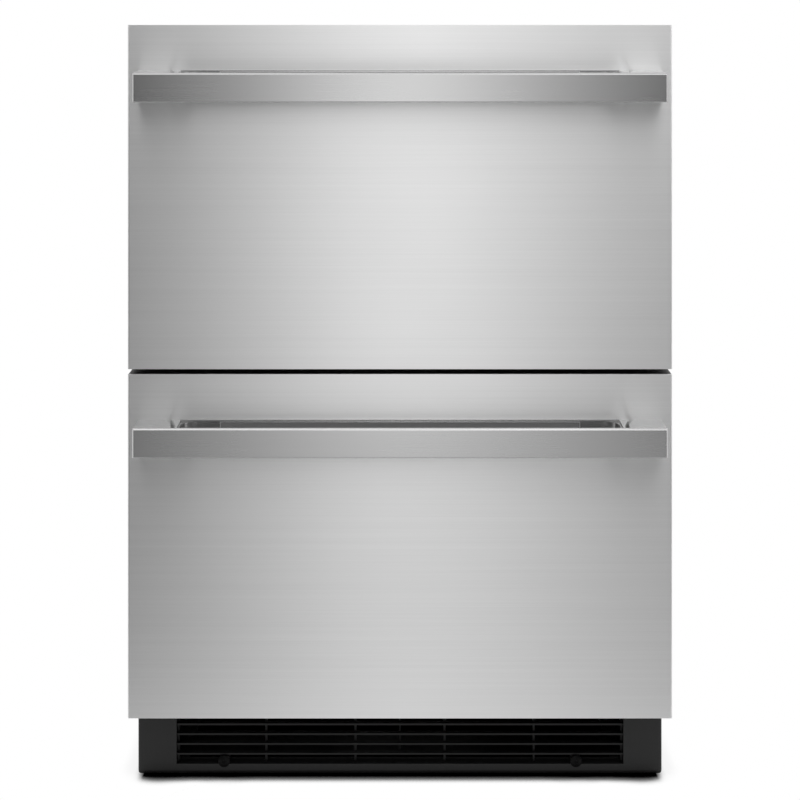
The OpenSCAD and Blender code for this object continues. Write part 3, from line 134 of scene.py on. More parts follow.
class Bench:
    """The workbench for one material or world: it adds nodes and links them.

    A Mix node has sockets for numbers, vectors and colours, and those for colours are numbered.
    """

    MIX_LOW: ClassVar[int] = 6
    MIX_HIGH: ClassVar[int] = 7
    MIX_OUT: ClassVar[int] = 2

    def __init__(self, tree: bpy.types.NodeTree) -> None:
        """Clears a material's or a world's node tree to build on."""
        self.tree = tree
        self.tree.nodes.clear()

    @classmethod
    def for_material(cls, name: str) -> tuple[Bench, bpy.types.Material]:
        """Makes a new material.

        Args:
            name: The material's name.

        Returns:
            Its bench and the material.
        """
        material = bpy.data.materials.new(name)
        material.use_nodes = True
        return cls(material.node_tree), material

    def node(
        self,
        kind: str,
        settings: Mapping[str, object] | None = None,
        inputs: Mapping[str | int, Operand] | None = None,
    ) -> bpy.types.Node:
        """Adds any node.

        Args:
            kind: The node's type.
            settings: Its own settings, set before its sockets; a ramp's are under "stops".
            inputs: A value or a link for each named or numbered input socket.

        Returns:
            The node.
        """
        made = self.tree.nodes.new(kind)
        for key, setting in (settings or {}).items():
            if key == "stops":
                self._set_stops(made, setting)
            else:
                setattr(made, key, setting)
        for key, operand in (inputs or {}).items():
            self.feed(made.inputs[key], operand)
        return made

    @staticmethod
    def _set_stops(made: bpy.types.Node, stops: Stops) -> None:
        """Gives a colour ramp its grey stops.

        Args:
            made: The ramp node.
            stops: Pairs of place and grey level.
        """
        elements = made.color_ramp.elements
        while len(elements) < len(stops):
            elements.new(1.0)
        for element, (place, level) in zip(elements, stops):
            element.position = place
            element.color = (level, level, level, 1.0)

    def feed(self, socket: bpy.types.NodeSocket, operand: Operand) -> None:
        """Links or sets an input socket.

        Args:
            socket: The input socket.
            operand: A value, an output socket, a number or a tuple.
        """
        if isinstance(operand, Value):
            self.tree.links.new(operand.socket, socket)
        elif isinstance(operand, bpy.types.NodeSocket):
            self.tree.links.new(operand, socket)
        elif isinstance(operand, (int, float)):
            socket.default_value = operand
        elif socket.type == "RGBA" and len(operand) == 3:
            socket.default_value = (*operand, 1.0)
        else:
            socket.default_value = tuple(operand)

    def value(
        self,
        kind: str,
        settings: Mapping[str, object] | None = None,
        inputs: Mapping[str | int, Operand] | None = None,
        output: str | int = 0,
    ) -> Value:
        """Adds a node and wraps one of its outputs, given by its name or number."""
        return Value(self, self.node(kind, settings, inputs).outputs[output])

    def place(
        self, scale: Sequence[float] = (1, 1, 1), offset: Sequence[float] = (0, 0, 0)
    ) -> Value:
        """The point on the piece, in metres, stretched along each axis.

        Args:
            scale: The factor for each axis.
            offset: What is added after that.

        Returns:
            The stretched point.
        """
        where = self.node("ShaderNodeTexCoord").outputs["Object"]
        return self.value(
            "ShaderNodeVectorMath",
            {"operation": "MULTIPLY_ADD"},
            {0: where, 1: scale, 2: offset},
        )

    def axes(
        self, scale: Sequence[float] = (1, 1, 1), offset: Sequence[float] = (0, 0, 0)
    ) -> list[Value]:
        """The stretched point's three coordinates, one by one."""
        parts = self.node("ShaderNodeSeparateXYZ", {}, {0: self.place(scale, offset)})
        return [Value(self, part) for part in parts.outputs]

    def noise(
        self, scale: float | Sequence[float], detail: float = 3.0, rough: float = 0.5
    ) -> Value:
        """A soft noise around 0.5.

        Args:
            scale: Cells to the metre, the same for all axes or one number for each.
            detail: How many finer layers are added.
            rough: How strong the finer layers are.

        Returns:
            The noise.
        """
        scales = (scale, scale, scale) if isinstance(scale, (int, float)) else scale
        return self.value(
            "ShaderNodeTexNoise",
            {},
            {"Vector": self.place(scales), "Scale": 1.0, "Detail": detail, "Roughness": rough},
        )

    def cells(self, scale: float, output: str = "Distance") -> Value:
        """The cells of a froth or a crystal: how far their middles are, or a Color for each."""
        inputs = {"Vector": self.place(), "Scale": scale}
        return self.value("ShaderNodeTexVoronoi", {}, inputs, output)

    def ramp(self, factor: Value, stops: Stops) -> Value:
        """A value looked up on a grey ramp of places and levels."""
        return self.value("ShaderNodeValToRGB", {"stops": stops}, {"Fac": factor})

    def tint(self, factor: Value, low: Colour, high: Colour) -> Value:
        """A mix of two colours: the first where the factor is 0, the second where it is 1."""
        inputs = {"Factor": factor, self.MIX_LOW: low, self.MIX_HIGH: high}
        return self.value("ShaderNodeMix", {"data_type": "RGBA"}, inputs, self.MIX_OUT)

    def bump(self, height: Value, strength: float, depth: float) -> Value:
        """A surface normal from a height.

        Args:
            height: The height, 0 to 1.
            strength: How strongly it counts.
            depth: The height's real size in metres.

        Returns:
            The normal.
        """
        return self.value(
            "ShaderNodeBump", {}, {"Strength": strength, "Distance": depth, "Height": height}
        )

    def glow(self, light: Value | Colour, gain: float = 1.0) -> bpy.types.NodeSocket:
        """A shader that gives off light."""
        return self.node("ShaderNodeEmission", {}, {"Color": light, "Strength": gain}).outputs[0]

    def paper(self, colour: Colour) -> bpy.types.NodeSocket:
        """A dull shader, as of paper."""
        return self.node("ShaderNodeBsdfDiffuse", {}, {"Color": colour}).outputs[0]

    def blend(
        self, factor: Value, first: bpy.types.NodeSocket, second: bpy.types.NodeSocket
    ) -> bpy.types.NodeSocket:
        """A mix of two shaders: the first where the factor is 0, the second where it is 1."""
        return self.node("ShaderNodeMixShader", {}, {0: factor, 1: first, 2: second}).outputs[0]

    def surface(self, inputs: Mapping[str | int, Operand]) -> None:
        """Ends a material with a Principled shader, given what its sockets get."""
        shader = self.node("ShaderNodeBsdfPrincipled", {}, inputs)
        self.output(shader.outputs[0])

    def output(self, shader: bpy.types.NodeSocket) -> None:
        """Links a shader to the material's output."""
        self.node("ShaderNodeOutputMaterial", {}, {"Surface": shader})


# ---- Finishes ----------------------------------------------------------------------------------


class Grain(Enum):
    """Which way the lines of a brushed surface run, in cells to the metre along each axis."""

    ALONG_X = (5.0, 1400.0, 1400.0)
    ALONG_Z = (1400.0, 1400.0, 5.0)


def grey(level: float) -> Colour:
    """An even grey."""
    return (level, level, level)


def shade(colour: Colour, factor: float) -> Colour:
    """A colour made lighter or darker, no channel over 1."""
    red, green, blue = (min(1.0, channel * factor) for channel in colour)
    return (red, green, blue)


@dataclass(frozen=True)
class Finish:
    """What every finish has: a name, a colour and a roughness.

    In every kind of finish a scale is in cells to the metre, and a depth is in metres.
    """

    name: str
    colour: Colour
    roughness: float

    def build(self) -> bpy.types.Material:
        """Makes the material, which each kind of finish does in its own way."""
        raise NotImplementedError

    def shaded(self, bench: Bench, pattern: Value, dark: float, light: float) -> Value:
        """The finish's colour, darker where a pattern is 0 and lighter where it is 1."""
        return bench.tint(pattern, shade(self.colour, dark), shade(self.colour, light))


@dataclass(frozen=True)
class BrushedSteel(Finish):
    """Stainless sheet or bar with fine straight brush lines."""

    grain: Grain = Grain.ALONG_X
    contrast: float = 0.035
    fade: Stops = ((0.3, 0.0), (0.7, 1.0))
    line_depth: float = 0.0045 * MM
    line_bump: float = 0.5
    streak_scale: float = 0.16
    streak_share: float = 0.4
    unevenness: float = 0.1
    cloud_scale: float = 7.0
    cloudiness: float = 0.05
    stretch: float = 0.7
    stretch_turn: float = 0.25

    def build(self) -> bpy.types.Material:
        """Makes the material from fine lines, broad streaks and a faint cloudiness.

        Returns:
            The material.
        """
        bench, material = Bench.for_material(self.name)
        lines = bench.noise(self.grain.value, detail=5.0, rough=0.65)
        streaks = bench.noise([axis * self.streak_scale for axis in self.grain.value], detail=2.0)
        cloud = bench.noise(self.cloud_scale, detail=2.0)
        mark = lines * (1.0 - self.streak_share) + streaks * self.streak_share
        dulling = mark.swing() * self.unevenness + cloud.swing() * self.cloudiness
        pattern = bench.ramp(mark, self.fade)
        bench.surface(
            {
                "Base Color": self.shaded(bench, pattern, 1.0 - self.contrast, 1.0 + self.contrast),
                "Metallic": 1.0,
                "Roughness": dulling + self.roughness,
                "Anisotropic": self.stretch,
                "Anisotropic Rotation": self.stretch_turn,
                "Normal": bench.bump(lines, self.line_bump, self.line_depth),
            }
        )
        return material


@dataclass(frozen=True)
class Enamel(Finish):
    """Baked paint on sheet steel, with the slight waviness of sprayed paint."""

    contrast: float = 0.03
    fade: Stops = ((0.35, 0.0), (0.65, 1.0))
    peel_scale: float = 420.0
    peel_bump: float = 0.4
    waviness: float = 0.02 * MM
    cloud_scale: float = 9.0
    cloudiness: float = 0.08
    coat: float = 0.25
    coat_roughness: float = 0.2
    specular: float = 0.5

    def build(self) -> bpy.types.Material:
        """Makes the material from orange peel, faint cloudiness and dulled patches.

        Returns:
            The material.
        """
        bench, material = Bench.for_material(self.name)
        peel = bench.noise(self.peel_scale, detail=2.0)
        cloud = bench.noise(self.cloud_scale, detail=4.0)
        pattern = bench.ramp(cloud, self.fade)
        bench.surface(
            {
                "Base Color": self.shaded(bench, pattern, 1.0 - self.contrast, 1.0 + self.contrast),
                "Roughness": cloud.swing() * self.cloudiness + self.roughness,
                "Specular IOR Level": self.specular,
                "Coat Weight": self.coat,
                "Coat Roughness": self.coat_roughness,
                "Normal": bench.bump(peel, self.peel_bump, self.waviness),
            }
        )
        return material


@dataclass(frozen=True)
class Moulding(Finish):
    """Injection-moulded plastic with a fine spark-eroded texture."""

    dark: float = 0.95
    light: float = 1.04
    flow_scale: Sequence[float] = (6.0, 6.0, 14.0)
    flow_fade: Stops = ((0.3, 0.0), (0.7, 1.0))
    flow_dulling: float = 0.12
    texture: float = 0.03 * MM
    texture_scale: float = 1500.0
    texture_bump: float = 0.5
    texture_dulling: float = 0.1
    specular: float = 0.5

    def build(self) -> bpy.types.Material:
        """Makes the material from the mould's grain and faint flow marks.

        Returns:
            The material.
        """
        bench, material = Bench.for_material(self.name)
        grain = bench.noise(self.texture_scale, detail=2.0, rough=0.6)
        flow = bench.noise(self.flow_scale, detail=3.0)
        dulling = flow.swing() * self.flow_dulling + grain.swing() * self.texture_dulling
        pattern = bench.ramp(flow, self.flow_fade)
        bench.surface(
            {
                "Base Color": self.shaded(bench, pattern, self.dark, self.light),
                "Roughness": dulling + self.roughness,
                "Specular IOR Level": self.specular,
                "Normal": bench.bump(grain, self.texture_bump, self.texture),
            }
        )
        return material


@dataclass(frozen=True)
class Rubber(Finish):
    """Soft extruded rubber or vinyl, with faint drawn lines and a bloom of dust."""

    line_scale: Sequence[float] = (30.0, 900.0, 30.0)
    line_depth: float = 0.03 * MM
    line_bump: float = 0.3
    bloom_scale: float = 25.0
    bloom_fade: Stops = ((0.45, 0.0), (0.8, 1.0))
    bloom_lightness: float = 1.6
    bloom_dulling: float = 0.2

    def build(self) -> bpy.types.Material:
        """Makes the material from drawn lines and a pale bloom.

        Returns:
            The material.
        """
        bench, material = Bench.for_material(self.name)
        lines = bench.noise(self.line_scale, detail=2.0)
        bloom = bench.noise(self.bloom_scale, detail=5.0)
        pattern = bench.ramp(bloom, self.bloom_fade)
        bench.surface(
            {
                "Base Color": self.shaded(bench, pattern, 1.0, self.bloom_lightness),
                "Roughness": bloom.swing() * self.bloom_dulling + self.roughness,
                "Normal": bench.bump(lines, self.line_bump, self.line_depth),
            }
        )
        return material


@dataclass(frozen=True)
class Foam(Finish):
    """Rigid polyurethane foam: fine closed cells with a few larger bubbles."""

    fine_cells: float = 900.0
    large_cells: float = 160.0
    large_share: float = 0.4
    cell_depth: float = 0.4 * MM
    cell_bump: float = 0.8
    # How dark the painted shade in the cells' pits is.
    dark: float = 0.72

    def build(self) -> bpy.types.Material:
        """Makes the material from two sizes of cell, with painted shade in the cells' pits.

        Returns:
            The material.
        """
        bench, material = Bench.for_material(self.name)
        fine, large = bench.cells(self.fine_cells), bench.cells(self.large_cells)
        cells = fine * (1.0 - self.large_share) + large * self.large_share
        bench.surface(
            {
                # Painted shade: the colour darkens where the cells' bump sinks into a pit.
                "Base Color": self.shaded(bench, cells.clamped(), self.dark, 1.0),
                "Roughness": self.roughness,
                "Normal": bench.bump(cells, self.cell_bump, self.cell_depth),
            }
        )
        return material


@dataclass(frozen=True)
class Zinc(Finish):
    """Galvanised or zinc-plated steel, with a faint crystal spangle."""

    spangle: float = 150.0
    spangle_dulling: float = 0.06
    dark: float = 0.94
    light: float = 1.05
    roll_scale: Sequence[float] = (900.0, 900.0, 30.0)
    roll_depth: float = 0.01 * MM
    roll_bump: float = 0.3
    roll_dulling: float = 0.1

    def build(self) -> bpy.types.Material:
        """Makes the material from crystal patches and fine roll lines.

        Returns:
            The material.
        """
        bench, material = Bench.for_material(self.name)
        patch = bench.cells(self.spangle, "Color")
        facet = bench.value("ShaderNodeSeparateColor", {}, {"Color": patch})
        roll = bench.noise(self.roll_scale, detail=3.0)
        dulling = facet.swing() * self.spangle_dulling + roll.swing() * self.roll_dulling
        bench.surface(
            {
                "Base Color": self.shaded(bench, facet, self.dark, self.light),
                "Metallic": 1.0,
                "Roughness": dulling + self.roughness,
                "Normal": bench.bump(roll, self.roll_bump, self.roll_depth),
            }
        )
        return material


@dataclass(frozen=True)
class DrawnMetal(Finish):
    """Copper tube or aluminium fins: bright metal dulled in patches by handling."""

    tarnish: Colour = (0.3, 0.15, 0.08)
    tarnish_scale: float = 60.0
    tarnish_fade: Stops = ((0.42, 0.0), (0.75, 1.0))
    tarnish_share: float = 0.6
    tarnish_dulling: float = 0.25
    scratch_scale: Sequence[float] = (700.0, 90.0, 700.0)
    scratch_depth: float = 0.01 * MM
    scratch_bump: float = 0.3
    scratch_dulling: float = 0.1

    def build(self) -> bpy.types.Material:
        """Makes the material from a bright and a dulled state of the metal.

        Returns:
            The material.
        """
        bench, material = Bench.for_material(self.name)
        patches = bench.noise(self.tarnish_scale, detail=6.0, rough=0.6)
        dull = bench.ramp(patches, self.tarnish_fade)
        scratches = bench.noise(self.scratch_scale, detail=3.0)
        dulling = dull * self.tarnish_dulling + scratches.swing() * self.scratch_dulling
        bench.surface(
            {
                "Base Color": bench.tint(dull * self.tarnish_share, self.colour, self.tarnish),
                "Metallic": 1.0,
                "Roughness": dulling + self.roughness,
                "Normal": bench.bump(scratches, self.scratch_bump, self.scratch_depth),
            }
        )
        return material


@dataclass(frozen=True)
class ClearPart(Finish):
    """A frosted lens or a dark display glass."""

    transmission: float = 0.6
    refraction: float = 1.49
    rib_scale: Sequence[float] = (500.0, 20.0, 20.0)
    rib_depth: float = 0.05 * MM
    rib_bump: float = 0.25
    rib_dulling: float = 0.12

    def build(self) -> bpy.types.Material:
        """Makes the material with a faint prismatic ribbing.

        Returns:
            The material.
        """
        bench, material = Bench.for_material(self.name)
        ribs = bench.noise(self.rib_scale, detail=1.0)
        bench.surface(
            {
                "Base Color": self.colour,
                "Roughness": ribs.swing() * self.rib_dulling + self.roughness,
                "Transmission Weight": self.transmission,
                "IOR": self.refraction,
                "Normal": bench.bump(ribs, self.rib_bump, self.rib_depth),
            }
        )
        return material


class Palette:
    """The finishes of this refrigerator, each made once and then shared."""

    FRONT: ClassVar[Finish] = BrushedSteel("front_steel", grey(0.79), 0.46, stretch=0.85)
    BAR: ClassVar[Finish] = BrushedSteel(
        "handle_bar_steel", grey(0.5), 0.27, contrast=0.02, unevenness=0.04, stretch=0.5
    )
    ENDS: ClassVar[Finish] = BrushedSteel(
        "handle_end_steel", grey(0.75), 0.38, Grain.ALONG_Z, stretch=0.2
    )
    # Near-black steel on the grip strip: painted shade for the slot behind the bar.
    SHADED_KNURL: ClassVar[Finish] = BrushedSteel(
        "knurled_steel", grey(0.14), 0.3, contrast=0.15, stretch=0.0
    )
    BORDER: ClassVar[Finish] = BrushedSteel("strip_border_steel", grey(0.85), 0.3)
    FRAME: ClassVar[Finish] = BrushedSteel("frame_steel", (0.62, 0.62, 0.61), 0.33)
    CAP: ClassVar[Finish] = Moulding("end_cap_black", grey(0.012), 0.55)
    KICK: ClassVar[Finish] = Enamel("kick_panel_black", grey(0.014), 0.5, coat=0.0, specular=0.3)
    BASE: ClassVar[Finish] = Enamel("base_black", grey(0.006), 0.6, coat=0.0, specular=0.2)
    GRILLE: ClassVar[Finish] = Moulding("grille_black", grey(0.006), 0.5, specular=0.25)
    SCREW: ClassVar[Finish] = Enamel("screw_black", grey(0.003), 0.45, coat=0.0, specular=0.1)
    WRAPPER: ClassVar[Finish] = Enamel("cabinet_grey", (0.2, 0.2, 0.205), 0.45)
    LINER: ClassVar[Finish] = Moulding("liner_white", (0.8, 0.81, 0.8), 0.32, texture=0.01 * MM)
    BIN: ClassVar[Finish] = Moulding("bin_white", (0.82, 0.83, 0.83), 0.38, texture=0.02 * MM)
    FOAM: ClassVar[Finish] = Foam("foam", (0.82, 0.68, 0.4), 0.9)
    GASKET: ClassVar[Finish] = Rubber("gasket_rubber", (0.03, 0.03, 0.031), 0.62)
    MOUNT: ClassVar[Finish] = Rubber("mount_rubber", grey(0.022), 0.75)
    PLATED: ClassVar[Finish] = Zinc("zinc_plate", (0.62, 0.64, 0.66), 0.34, spangle=220.0)
    SHEET: ClassVar[Finish] = Zinc("galvanised_sheet", (0.58, 0.6, 0.62), 0.42)
    CAN: ClassVar[Finish] = Enamel(
        "compressor_black", (0.014, 0.014, 0.015), 0.3, waviness=0.04 * MM, coat=0.5
    )
    FIN: ClassVar[Finish] = DrawnMetal(
        "fin_aluminium", (0.83, 0.84, 0.85), 0.32, tarnish=grey(0.5)
    )
    COIL: ClassVar[Finish] = Enamel("coil_black", grey(0.008), 0.6, coat=0.0, specular=0.25)
    COPPER: ClassVar[Finish] = DrawnMetal("copper", (0.8, 0.42, 0.26), 0.26)
    FAN: ClassVar[Finish] = Moulding("fan_black", grey(0.02), 0.42)
    BUTTON: ClassVar[Finish] = Moulding("button_grey", (0.2, 0.21, 0.22), 0.45)
    DIVIDER: ClassVar[Finish] = Moulding("divider_grey", (0.32, 0.33, 0.35), 0.4)
    MARK: ClassVar[Finish] = Moulding("mark_white", (0.85, 0.86, 0.86), 0.45)
    LENS: ClassVar[Finish] = ClearPart("light_lens", (0.95, 0.97, 1.0), 0.25)
    DISPLAY: ClassVar[Finish] = ClearPart(
        "display_glass", (0.01, 0.011, 0.013), 0.08, transmission=0.0
    )

    _made: ClassVar[dict[str, bpy.types.Material]] = {}

    @classmethod
    def material(cls, finish: Finish) -> bpy.types.Material:
        """The material of a finish, made at its first use.

        Args:
            finish: One of this class's finishes.

        Returns:
            The Blender material.
        """
        if finish.name not in cls._made:
            cls._made[finish.name] = finish.build()
        return cls._made[finish.name]


# ---- Shapes ------------------------------------------------------------------------------------


class Facing(Enum):
    """Which way a screw's head faces, as its sign along Y."""

    FRONT = -1.0
    BACK = 1.0


def put_up(name: str, data: bpy.types.ID) -> bpy.types.Object:
    """Adds an object to the scene.

    Args:
        name: The object's name.
        data: Its mesh, lamp or camera.

    Returns:
        The object.
    """
    made = bpy.data.objects.new(name, data)
    bpy.context.scene.collection.objects.link(made)
    return made


def put_up_shape(
    name: str, shape: bmesh.types.BMesh, material: bpy.types.Material
) -> bpy.types.Object:
    """Adds a finished shape to the scene as an object.

    Args:
        name: The object's name.
        shape: Its shape, which is freed.
        material: Its material.

    Returns:
        The object.
    """
    mesh = bpy.data.meshes.new(name)
    shape.to_mesh(mesh)
    shape.free()
    mesh.materials.append(material)
    return put_up(name, mesh)


def circle(segments: int) -> list[tuple[float, float]]:
    """The cosine and the sine of even steps round a circle."""
    turns = [2 * math.pi * step / segments for step in range(segments)]
    return [(math.cos(turn), math.sin(turn)) for turn in turns]


def add_band(
    shape: bmesh.types.BMesh,
    first: Sequence[bmesh.types.BMVert],
    second: Sequence[bmesh.types.BMVert],
) -> None:
    """Joins two closed loops of vertices by a band of four-sided faces.

    Args:
        shape: The shape to add to.
        first: One loop.
        second: The other loop, with as many vertices.
    """
    for index in range(len(first)):
        after = (index + 1) % len(first)
        shape.faces.new((first[index], first[after], second[after], second[index]))


def add_block(shape: bmesh.types.BMesh, low: Vector, high: Vector) -> None:
    """Adds a box between two corners.

    Args:
        shape: The shape to add to.
        low: The lowest corner.
        high: The highest corner.
    """
    middle = (Vector(low) + Vector(high)) / 2
    size = Vector(high) - Vector(low)
    place = Matrix.Translation(middle) @ Matrix.Diagonal((*size, 1.0))
    bmesh.ops.create_cube(shape, size=1.0, matrix=place)


def add_plate(
    shape: bmesh.types.BMesh, low: Vector, high: Vector, radius: float, steps: int = 6
) -> None:
    """Adds an upright plate with round corners, its thickness along Y.

    Args:
        shape: The shape to add to.
        low: The lowest corner.
        high: The highest corner.
        radius: The corners' radius.
        steps: How many facets a corner has.
    """
    left, right = low.x + radius, high.x - radius
    bottom, top = low.z + radius, high.z - radius
    centres = ((right, top), (left, top), (left, bottom), (right, bottom))
    outline = []
    for quarter, (x, z) in enumerate(centres):
        for step in range(steps + 1):
            angle = math.radians(90) * (quarter + step / steps)
            outline.append((x + radius * math.cos(angle), z + radius * math.sin(angle)))
    front = [shape.verts.new((x, low.y, z)) for x, z in outline]
    back = [shape.verts.new((x, high.y, z)) for x, z in outline]
    add_band(shape, front, back)
    shape.faces.new(front)
    shape.faces.new(back)


def add_ring(
    shape: bmesh.types.BMesh,
    middle: Vector,
    radii: tuple[float, float],
    thickness: float,
    segments: int = 32,
) -> None:
    """Adds a flat ring that faces the front.

    Args:
        shape: The shape to add to.
        middle: The ring's middle.
        radii: The hole's radius and the ring's.
        thickness: Its thickness along Y.
        segments: How many facets it has.
    """
    inner, outer = radii
    front, back = -0.5 * thickness, 0.5 * thickness
    loops = []
    for reach, y in ((inner, front), (outer, front), (outer, back), (inner, back)):
        offsets = [Vector((reach * cosine, y, reach * sine)) for cosine, sine in circle(segments)]
        loops.append([shape.verts.new(middle + offset) for offset in offsets])
    for first, second in zip(loops, loops[1:] + loops[:1]):
        add_band(shape, first, second)


@dataclass(frozen=True)
class ScrewHead:
    """A domed screw head with a cross pressed into it, its axis along Y.

    The profile, from the rim inwards, and the sizes of the cross are shares of the radius and
    the height.
    """

    radius: float = 4.0 * MM
    height: float = 1.9 * MM
    cross_half: float = 0.12
    cross_reach: float = 0.55
    cross_depth: float = 0.5
    segments: int = 32
    profile: Stops = (
        (1.0, 0.0), (1.0, 0.5), (0.94, 0.76), (0.8, 0.9), (0.62, 0.97),
        (0.5, 0.99), (0.38, 1.0), (0.26, 1.0), (0.14, 1.0),
    )

    def add(self, shape: bmesh.types.BMesh, seat: Vector, facing: Facing) -> None:
        """Adds the head to a shape.

        Args:
            shape: The shape to add to.
            seat: The middle of the face it sits on.
            facing: Which way the head faces.
        """
        outward = facing.value * self.height
        rings = []
        for reach, rise in self.profile:
            ring = []
            for cosine, sine in circle(self.segments):
                across, up = reach * cosine, reach * sine
                out = (rise - self._pressed(reach, across, up)) * outward
                place = seat + Vector((across * self.radius, out, up * self.radius))
                ring.append(shape.verts.new(place))
            rings.append(ring)
        for outer, inner in zip(rings, rings[1:]):
            add_band(shape, outer, inner)
        middle = shape.verts.new(seat + Vector((0.0, (1.0 - self.cross_depth) * outward, 0.0)))
        last = rings[-1]
        for index, vertex in enumerate(last):
            shape.faces.new((vertex, last[(index + 1) % self.segments], middle))
        shape.faces.new(rings[0])

    def _pressed(self, reach: float, across: float, up: float) -> float:
        """How deep the cross is pressed in at a point of the head, as a share of its height."""
        inside = reach < self.cross_reach and min(abs(across), abs(up)) < self.cross_half
        return self.cross_depth if inside else 0.0


# ---- Pieces ------------------------------------------------------------------------------------


class Level(Enum):
    """Which of the two drawers a group belongs to, as its nodes' names begin."""

    UPPER = "upper"
    LOWER = "lower"


@dataclass
class SubAssembly:
    """A group of nodes and the fine pieces that ride on its body."""

    nodes: Mapping[str, bpy.types.Object]
    body: str
    weld_gap: float = 0.002 * MM
    edge_facets: int = 3
    edge_angle: float = math.radians(40)

    def build(self) -> None:
        """Dresses the nodes and makes the fine pieces, which each group does in its own way."""
        raise NotImplementedError

    def dress(self, finish: Finish, *names: str, soften: float = 0.0) -> None:
        """Gives CAD nodes their finish, and their sharp edges a small rounding.

        Args:
            finish: The finish.
            names: The nodes.
            soften: The width of the rounding in metres, or 0 for none.
        """
        for name in names:
            node = self.nodes[name]
            node.data.materials.clear()
            node.data.materials.append(Palette.material(finish))
            if soften:
                self.soften(node, soften)
            LOG.info("dressed %s with %s", name, finish.name)

    def soften(self, piece: bpy.types.Object, width: float) -> None:
        """Rounds a piece's sharp edges with modifiers, which leave its own mesh as it is.

        Args:
            piece: The piece.
            width: The rounding's width in metres.
        """
        weld = piece.modifiers.new("Join", "WELD")
        weld.merge_threshold = self.weld_gap
        rounding = piece.modifiers.new("Edge", "BEVEL")
        rounding.width = width
        rounding.segments = self.edge_facets
        rounding.limit_method = "ANGLE"
        rounding.angle_limit = self.edge_angle
        rounding.harden_normals = True
        rounding.miter_outer = "MITER_ARC"

    def piece(
        self, name: str, shape: bmesh.types.BMesh, finish: Finish, slot: str, body: str = ""
    ) -> bpy.types.Object:
        """Makes a piece from a finished shape and lets it ride.

        Args:
            name: The piece's name.
            shape: Its shape in the row frame, which is freed.
            finish: Its finish.
            slot: The record's material slot; not used.
            body: The body it rides on, if not this group's own.

        Returns:
            The piece.
        """
        bmesh.ops.recalc_face_normals(shape, faces=shape.faces)
        made = put_up_shape(name, shape, Palette.material(finish))
        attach(made, body or self.body)
        LOG.info("made %s with %s", name, finish.name)
        return made


@dataclass
class ScrewedPanel(SubAssembly):
    """A group with a panel that screws hold along its edge."""

    screw: ScrewHead = ScrewHead()
    screw_inset: float = 9.0 * MM

    def _lines(self, low: Vector, high: Vector) -> tuple[float, float, float, float]:
        """The left, right, bottom and top lines on which the screws of a panel's box lie."""
        inset = self.screw_inset
        return low.x + inset, high.x - inset, low.z + inset, high.z - inset

    def screws(self, name: str, seats: Iterable[Vector], facing: Facing) -> bpy.types.Object:
        """Makes a panel's screws.

        Args:
            name: The piece's name.
            seats: The middle of the face that each head sits on.
            facing: Which way the heads face.

        Returns:
            The screws, as one piece.
        """
        shape = bmesh.new()
        for seat in seats:
            self.screw.add(shape, seat, facing)
        return self.piece(name, shape, Palette.PLATED, "zinc_steel")


@dataclass
class CabinetShell(ScrewedPanel):
    """The wrapper, the foam, the liner, the front frame and the back."""

    side_screws: int = 6
    end_screws: Sequence[float] = (-0.18, -0.06, 0.06, 0.18)

    def build(self) -> None:
        """Dresses the cabinet's nodes and screws its back on."""
        self.back_screws()
        self.dress(Palette.WRAPPER, "cabinet_wrapper")
        self.dress(Palette.SHEET, "back_panel")
        self.dress(Palette.FOAM, "cabinet_foam")
        self.dress(Palette.LINER, "inner_liner")
        self.dress(Palette.FRAME, "front_frame")

    def back_screws(self) -> bpy.types.Object:
        """Makes the screws round the edge of the back panel.

        Returns:
            The screws, as one piece.
        """
        low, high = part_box("back_panel")
        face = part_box("rear_cover")[1].y
        left, right, bottom, top = self._lines(low, high)
        levels = [
            bottom + (top - bottom) * index / (self.side_screws - 1)
            for index in range(self.side_screws)
        ]
        spots = [(x, z) for x in (left, right) for z in levels]
        spots += [(x, z) for x in self.end_screws for z in (bottom, top)]
        seats = [Vector((x, face, z)) for x, z in spots]
        return self.screws("back_panel_screws", seats, Facing.BACK)


@dataclass
class Drawer(SubAssembly):
    """One drawer: its front, its gasket, its bin and its slides."""

    level: Level = Level.UPPER
    sheet_edge: float = 0.5 * MM

    def build(self) -> None:
        """Dresses the drawer's nodes."""
        level = self.level.value
        self.dress(Palette.FRONT, f"{level}_front_skin", soften=self.sheet_edge)
        self.dress(Palette.CAP, f"{level}_front_caps")
        self.dress(Palette.FOAM, f"{level}_front_core")
        self.dress(Palette.LINER, f"{level}_front_panel")
        self.dress(Palette.GASKET, f"{level}_gasket")
        self.dress(Palette.BIN, f"{level}_bin")
        for member in ("drawer", "middle", "fixed"):
            self.dress(Palette.PLATED, f"{level}_{member}_slides")


